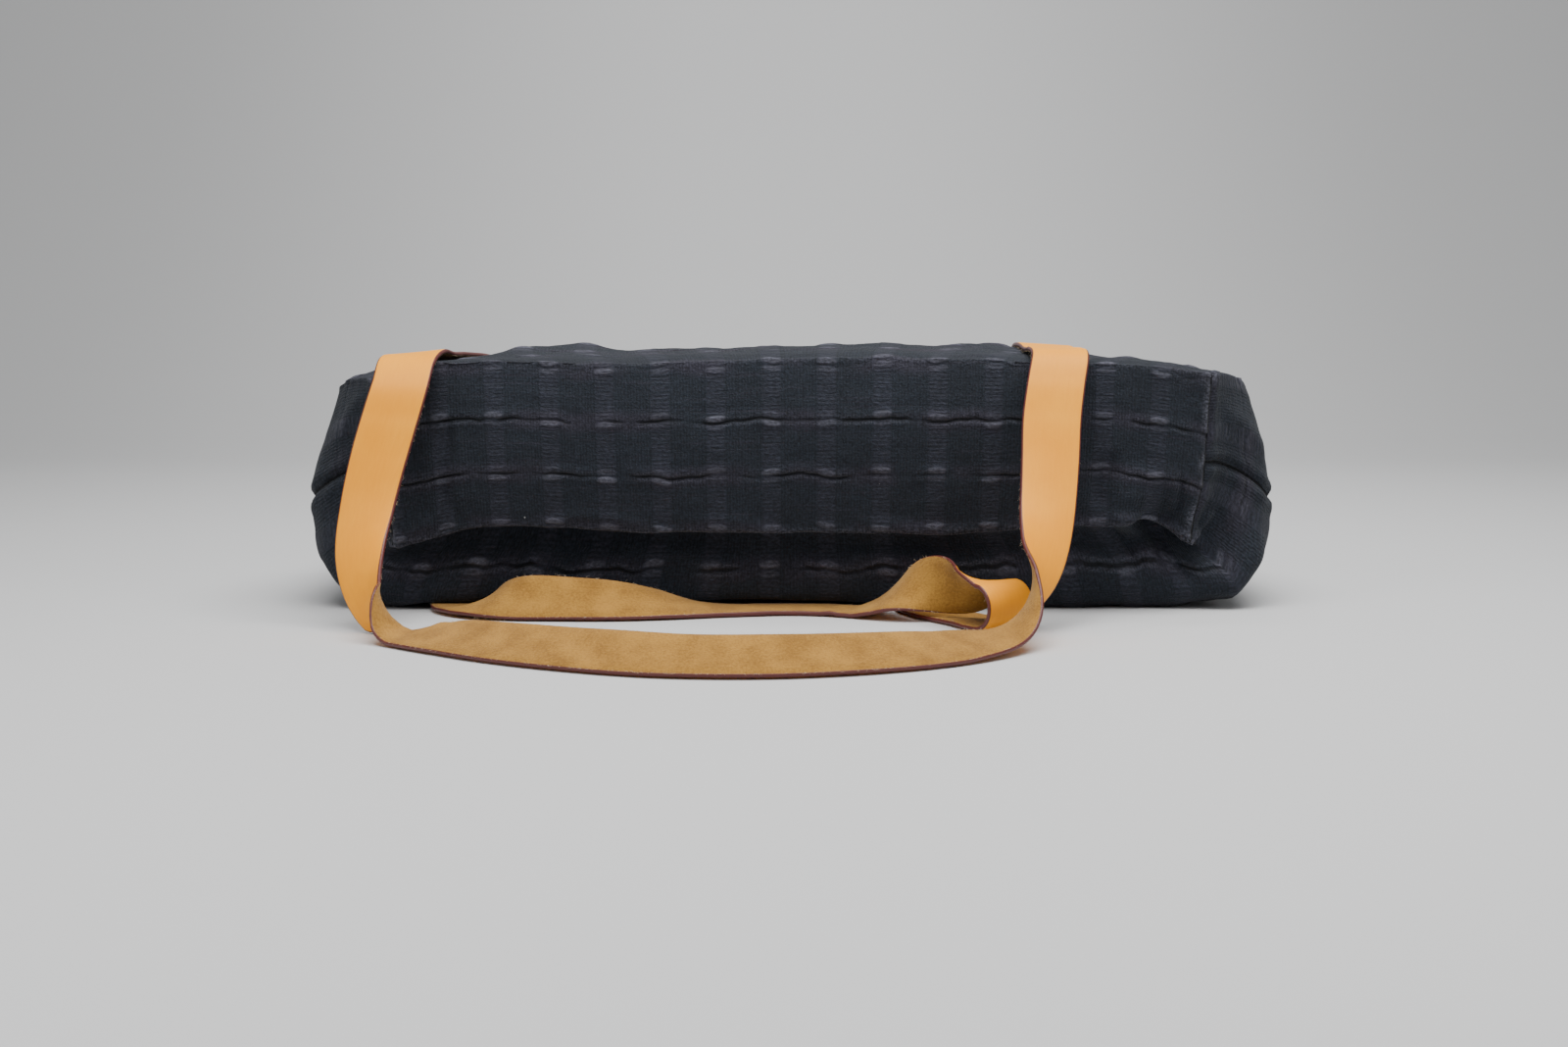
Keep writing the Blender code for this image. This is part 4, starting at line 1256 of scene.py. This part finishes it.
def width_vector(turn, tilt):
    turn, tilt = math.radians(turn), math.radians(tilt)
    return Vector((math.cos(tilt) * math.cos(turn), math.cos(tilt) * math.sin(turn), math.sin(tilt)))


def resting_height(tilt):
    """The height of a strap's middle when its lower edge rests on the floor."""
    tilt = math.radians(tilt)
    aside, level = abs(math.sin(tilt)), abs(math.cos(tilt))
    return FLOOR_GAP + STRAP_WIDTH / 2 * aside + STRAP_THICKNESS / 2 * level


def lay(surface, place, eye, way, gap, sign):
    """A station of a strap lying against the cloth. way is -1 where it lies on top of the cloth,
    seen from above, and 1 where it lies beneath. eye is the height that the cloth is seen from, and
    sign is the way that the strap's width points along X."""
    x, y = place
    offsets, heights = surface.across(x, y, eye, way)
    slope = (heights[-1] - heights[0]) / (offsets[-1] - offsets[0])
    level = heights - slope * offsets
    touch = level.min() if way > 0 else level.mean() + LAY_ON_RIDGES * (level.max() - level.mean())
    away = (gap + STRAP_THICKNESS / 2) * math.hypot(1, slope)
    return Vector((x, y, touch - way * away)), Vector((sign, 0, sign * slope)).normalized()


def press_down(cloth, line, gap):
    """Presses the cloth down beneath the top handle, a gap below the leather."""
    path, wide, grain, _ = line
    high = path[:, 2] > PRESSED_ABOVE * BODY_THICKNESS
    lying = (grain[:, 2] > PRESSED_LEVEL) & (path[:, 1] > PRESSED_FROM) & high
    path, wide = path[lying], wide[lying]
    nearest = KDTree(len(path))
    for n, place in enumerate(path):
        nearest.insert((place[0], place[1], 0.0), n)
    nearest.balance()
    level = np.hypot(wide[:, 0], wide[:, 1])
    reach = STRAP_WIDTH / 2
    for vertex in cloth.data.vertices:
        x, y = vertex.co.x, vertex.co.y + PATCH_BACK * BODY_HEIGHT
        _, n, distance = nearest.find((x, y, 0.0))
        if distance > 2 * reach or vertex.co.z < path[n, 2] - reach:
            continue
        across = ((x - path[n, 0]) * wide[n, 0] + (y - path[n, 1]) * wide[n, 1]) / level[n]
        under = max(min(across, reach), -reach) * wide[n, 2] / level[n]
        beyond = max(math.sqrt(max(distance**2 - across**2, 0)), abs(across) - reach - PRESSED_EDGE)
        rise = PRESSED_SLOPE * max(beyond - PRESSED_FLAT, 0)
        top = path[n, 2] + under - (STRAP_THICKNESS / 2 + gap) / level[n] + rise
        vertex.co.z = min(vertex.co.z, top)


def bend(start, end, width, reach):
    """A strap's turn back round the rim, from one middle point to another above or below it."""
    middle, half = (start + end) / 2, (end - start) / 2
    turn = []
    for degrees in (30, 60, 90, 120, 150):
        angle = math.radians(degrees)
        out = Vector((0, reach * math.sin(angle), 0))
        turn.append((middle - half * math.cos(angle) + out, width))
    return turn


def top_leg(surface, side, end_across):
    """A top handle's leg from its sewn end to the base's edge, where the loop's table starts."""
    end_x = end_across * BASE_LENGTH / 2
    start_x = side * HANDLE_SPACING / 2
    over = []
    for back, lift in TOP_LIE[1:]:
        place = (end_x + (start_x - end_x) * back, back * rim_place(True))
        over.append(lay(surface, place, 2 * BODY_THICKNESS, -1, SEAT + lift * STRAP_THICKNESS, side))
    leg = sewn_end(surface, side, True)
    start = leg[-1][0]
    end = Vector((start.x, start.y, over[0][0].z + 0.5 * STRAP_THICKNESS))
    return leg + bend(start, end, over[0][1], TOP_BEND * BODY_HEIGHT) + over


def loop_station(across, out, above, turn, tilt):
    """A station of a loop in front of the base, above where the strap would rest on the floor."""
    place = Vector((across * BASE_LENGTH / 2, -out, resting_height(tilt) + above))
    return place, width_vector(turn, tilt)


def top_stations(surface):
    edge = BASE_LIFT + GUSSET
    front = [
        loop_station(across, out * LOOP_REACH, up * edge, turn, tilt)
        for across, out, up, turn, tilt in FRONT_LOOP[1:]
    ]
    left = top_leg(surface, -1, FRONT_LOOP[1][0])
    right = top_leg(surface, 1, FRONT_LOOP[-1][0])
    return left + front + right[::-1]


def curl():
    """The small turn back under itself near the under handle's right end."""
    width = -width_vector(CURL_TURN, 0)
    run = Vector((-width.y, width.x, 0))
    top = Vector((CURL_PLACE[0] * BASE_LENGTH / 2, -CURL_PLACE[1] * UNDER_REACH, 0))
    low = resting_height(0)
    stations = []
    for step in range(CURL_STEPS + 1):
        angle = math.pi * step / CURL_STEPS
        out = run * (CURL_RADIUS * math.sin(angle))
        height = low + CURL_RADIUS * (1 + math.cos(angle))
        stations.append((top + out + Vector((0, 0, height)), width))
    return stations


def under_leg(surface, side):
    """An under handle's sewn end inside the mouth and its bend down round the rim to the floor."""
    leg = sewn_end(surface, side, False)
    start, width = leg[-1]
    end = Vector((start.x, start.y, resting_height(0)))
    return leg + bend(start, end, width, UNDER_BEND * BODY_HEIGHT) + [(end, Vector((-side, 0, 0)))]


def under_stations(surface):
    half = BASE_LENGTH / 2
    left, right = under_leg(surface, -1), under_leg(surface, 1)
    front = [
        loop_station(across, out * UNDER_REACH, lift * STRAP_WIDTH, turn, tilt)
        for across, out, lift, turn, tilt in UNDER_LOOP[1:]
    ]
    low = resting_height(0)
    start, end = left[-1][0], front[0][0].copy()
    end.z = low
    lane = [(start.lerp(end, share), Vector((1, 0, 0))) for share in (0.2, 0.4, 0.6, 0.8)]
    turned = curl()
    places = [turned[-1][0]]
    places += [Vector((x * half, y * BODY_HEIGHT, low)) for x, y in UNDER_RETURN[1:]]
    places.append(right[-1][0])
    returning = []
    for before, place, after in zip(places[:-2], places[1:-1], places[2:]):
        run = after - before
        returning.append((place, Vector((-run.y, run.x, 0)).normalized()))
    return left + lane + front + turned + returning + right[::-1]


def tube_quads(first, rings, turns):
    """The quads of a small tube whose points start at the first, ring by ring."""
    quads = []
    for low in range(first, first + rings * turns, turns):
        for step in range(turns):
            after = (step + 1) % turns
            high = low + turns
            quads.append((low + step, low + after, high + after, high + step))
    return quads


def stitch(points, quads, place, run, up):
    """Adds one stitch, a small pointed oval of thread, to the lists."""
    first = len(points)
    side = np.cross(run, up)
    for along, wide in STITCH_RINGS:
        for step in range(STITCH_TURNS):
            angle = 2 * math.pi * step / STITCH_TURNS
            out = side * math.cos(angle) + up * math.sin(angle)
            points.append(place + run * (along * STITCH_LENGTH) + out * (wide * STITCH_RADIUS))
    quads.extend(tube_quads(first, len(STITCH_RINGS) - 1, STITCH_TURNS))
    last = len(points) - STITCH_TURNS
    quads.append(tuple(first + step for step in reversed(range(STITCH_TURNS))))
    quads.append(tuple(last + step for step in range(STITCH_TURNS)))


def hem_stitches(outer, points, normals):
    """The row of stitches that holds the hem, seen on the outside and inside of the mouth."""
    above = HEM_DEPTH - 2 * MM
    ring = next(n for n, along in enumerate(outer.rings) if (1 - along) * BODY_HEIGHT < above)
    loop = outer.loops[ring + 1]
    around = np.append(loop, loop[0])
    line, out = points[around], normals[around]
    at = lengths_along(line)
    count = int(at[-1] / STITCH_PITCH)
    made_points, made_quads = [], []
    for n in range(count):
        length = (n + 0.5) / count * at[-1]
        place, up = read_line(length, at, line, out)
        ahead = read_line(length + MM, at, line)[0] - place
        up /= np.linalg.norm(up)
        run = ahead / max(np.linalg.norm(ahead), TINY)
        for rise in (HEM_STITCH_PROUD, -2 * HEM_HALF - HEM_STITCH_PROUD):
            stitch(made_points, made_quads, place + up * rise, run, up)
    raised = np.array(made_points)
    raised[:, 2] = np.maximum(raised[:, 2], STITCH_FLOOR)
    return add_mesh("hem_stitches", raised, made_quads)


def strap_stitches(name, path, wide, grain, at):
    """The stitches that hold a strap's two ends: round an oblong, seen on the grain face."""
    points, quads = [], []
    half, reach = STRAP_WIDTH / 2 - STITCH_INSET, SEWN_LENGTH - STITCH_SHORT
    corners = ((-half, STITCH_INSET), (half, STITCH_INSET), (half, reach), (-half, reach))
    sides = tuple(zip(corners, corners[1:] + corners[:1]))
    for base, way in ((0.0, 1), (at[-1], -1)):
        for (across0, along0), (across1, along1) in sides:
            length = math.hypot(across1 - across0, along1 - along0)
            count = max(1, round(length / STITCH_PITCH))
            for n in range(count):
                share = (n + 0.5) / count
                across = across0 + (across1 - across0) * share
                along = base + way * (along0 + (along1 - along0) * share)
                middle, width, up = read_line(along, at, path, wide, grain)
                run = width if along0 == along1 else np.cross(up, width)
                rise = STRAP_THICKNESS / 2 + STRAP_STITCH_PROUD
                stitch(points, quads, middle + width * across + up * rise, run, up)
    return add_mesh(name, points, quads)


def edge_fibres(name, path, wide, grain, at, seed):
    """Pale fibres that stand out along both edges of a strap's flesh side."""
    draw = np.random.default_rng(seed)
    points, quads = [], []
    for _ in range(int(at[-1] * FIBRES_A_METRE)):
        along = draw.uniform(0, at[-1])
        side = draw.choice((-1.0, 1.0))
        middle, width, up = read_line(along, at, path, wide, grain)
        forward, outward = np.cross(up, width), width * side
        start = middle + outward * (STRAP_WIDTH * draw.uniform(0.47, 0.492))
        start -= up * (0.47 * STRAP_THICKNESS)
        lean = forward * draw.normal(0, 0.9)
        lean += outward * draw.uniform(0.1, 1.0)
        lean -= up * draw.uniform(-0.1, 0.5)
        lean /= np.linalg.norm(lean)
        length = draw.uniform(0.5, 1.5) * MM
        bent = forward * draw.normal(0, 0.35) * length
        quads += tube_quads(len(points), len(FIBRE_RINGS) - 1, 3)
        for share, broad in FIBRE_RINGS:
            centre = start + lean * length * share + bent * share**2
            centre[2] = max(centre[2], FIBRE_FLOOR)
            points += [centre + way * (FIBRE_HALF * broad) for way in (width, up, -width)]
    return add_mesh(name, points, quads)


def on_root(made, finish=None):
    """Puts a piece on the root body, with a finish where it has none yet."""
    if finish is not None:
        made.data.materials.append(finish)
    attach(made, "root")


def sweep_material():
    """Pale paper, with shade painted on it: a little darker towards the sides of the sweep, where the
    light falls off.
    """
    graph = Graph("pale_sweep", 0.85, specular=0.2)
    aside = abs(graph.split(graph.node("TexCoord", output="Object"))[0])
    graph.colour(graph.mix(aside.ramp(0.05, 0.78), SWEEP_COLOUR, SWEEP_SHADED_SIDES))
    return graph.material


def make_studio():
    """A pale seamless sweep, a big soft light overhead and weaker ones in front and behind."""
    profile = [(SWEEP_FRONT, 0.0), (SWEEP_BACK, 0.0)]
    for step in range(1, SWEEP_STEPS + 1):
        angle = math.pi / 2 * step / SWEEP_STEPS
        out, up = SWEEP_RADIUS * math.sin(angle), SWEEP_RADIUS * (1 - math.cos(angle))
        profile.append((SWEEP_BACK + out, up))
    profile.append((SWEEP_BACK + SWEEP_RADIUS, SWEEP_TOP))
    points = [(x, y, z) for y, z in profile for x in (-SWEEP_HALF, SWEEP_HALF)]
    quads = [(2 * n, 2 * n + 1, 2 * n + 3, 2 * n + 2) for n in range(len(profile) - 1)]
    sweep = add_mesh("sweep", points, quads)
    sweep.data.materials.append(sweep_material())
    for name, place, aim, size, power in STUDIO_LIGHTS:
        light = bpy.data.lights.new(name, "AREA")
        light.shape = "RECTANGLE"
        light.size, light.size_y = size
        light.energy = power
        lamp = bpy.data.objects.new(name, light)
        bpy.context.scene.collection.objects.link(lamp)
        lamp.location = place
        facing = Vector(aim) - Vector(place)
        lamp.rotation_euler = facing.to_track_quat("-Z", "Y").to_euler()
    world = bpy.data.worlds.new("studio")
    world.use_nodes = True
    background = world.node_tree.nodes["Background"]
    background.inputs["Color"].default_value = (*WORLD_COLOUR, 1)
    background.inputs["Strength"].default_value = WORLD_STRENGTH
    bpy.context.scene.world = world


def make_camera():
    camera = bpy.data.cameras.new("camera")
    camera.lens = CAMERA_LENS
    camera.sensor_width = CAMERA_SENSOR
    camera.clip_end = CAMERA_FAR
    made = bpy.data.objects.new("camera", camera)
    bpy.context.scene.collection.objects.link(made)
    made.location = (CAMERA_SIDE, -CAMERA_BACK - PATCH_BACK * BODY_HEIGHT, CAMERA_HEIGHT)
    made.rotation_euler = (math.radians(90 - CAMERA_DOWN), 0, 0)
    bpy.context.scene.camera = made


cloth_finish = cloth_material()
cloth, inside, outer_shell, outer_points, outer_normals = make_cloth()
on_root(cloth, cloth_finish)
on_root(inside, cloth_finish)
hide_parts("bag_body")
dark_thread = plain_material("dark_thread", THREAD_COLOUR, 0.8)
on_root(hem_stitches(outer_shell, outer_points, outer_normals), dark_thread)

cloth_face = Surface([cloth, inside])
leathers = [grain_material(), edge_material(), flesh_material()]
tan_thread = plain_material("tan_thread", TAN_THREAD_COLOUR, 0.7)
fibre = plain_material("flesh_fibre", FIBRE_COLOUR, 0.9)
for name, stations, seed in (
    ("top_handle", top_stations(cloth_face), 5),
    ("under_handle", under_stations(cloth_face), 6),
):
    made, *line = strap(name + "_leather", stations, leathers)
    on_root(made)
    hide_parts(name)
    if name == "top_handle":
        press_down(cloth, line, SEAT)
        press_down(inside, line, SEAT + WALL)
    on_root(strap_stitches(name + "_stitches", *line), tan_thread)
    on_root(edge_fibres(name + "_fibres", *line, seed), fibre)

make_studio()
make_camera()
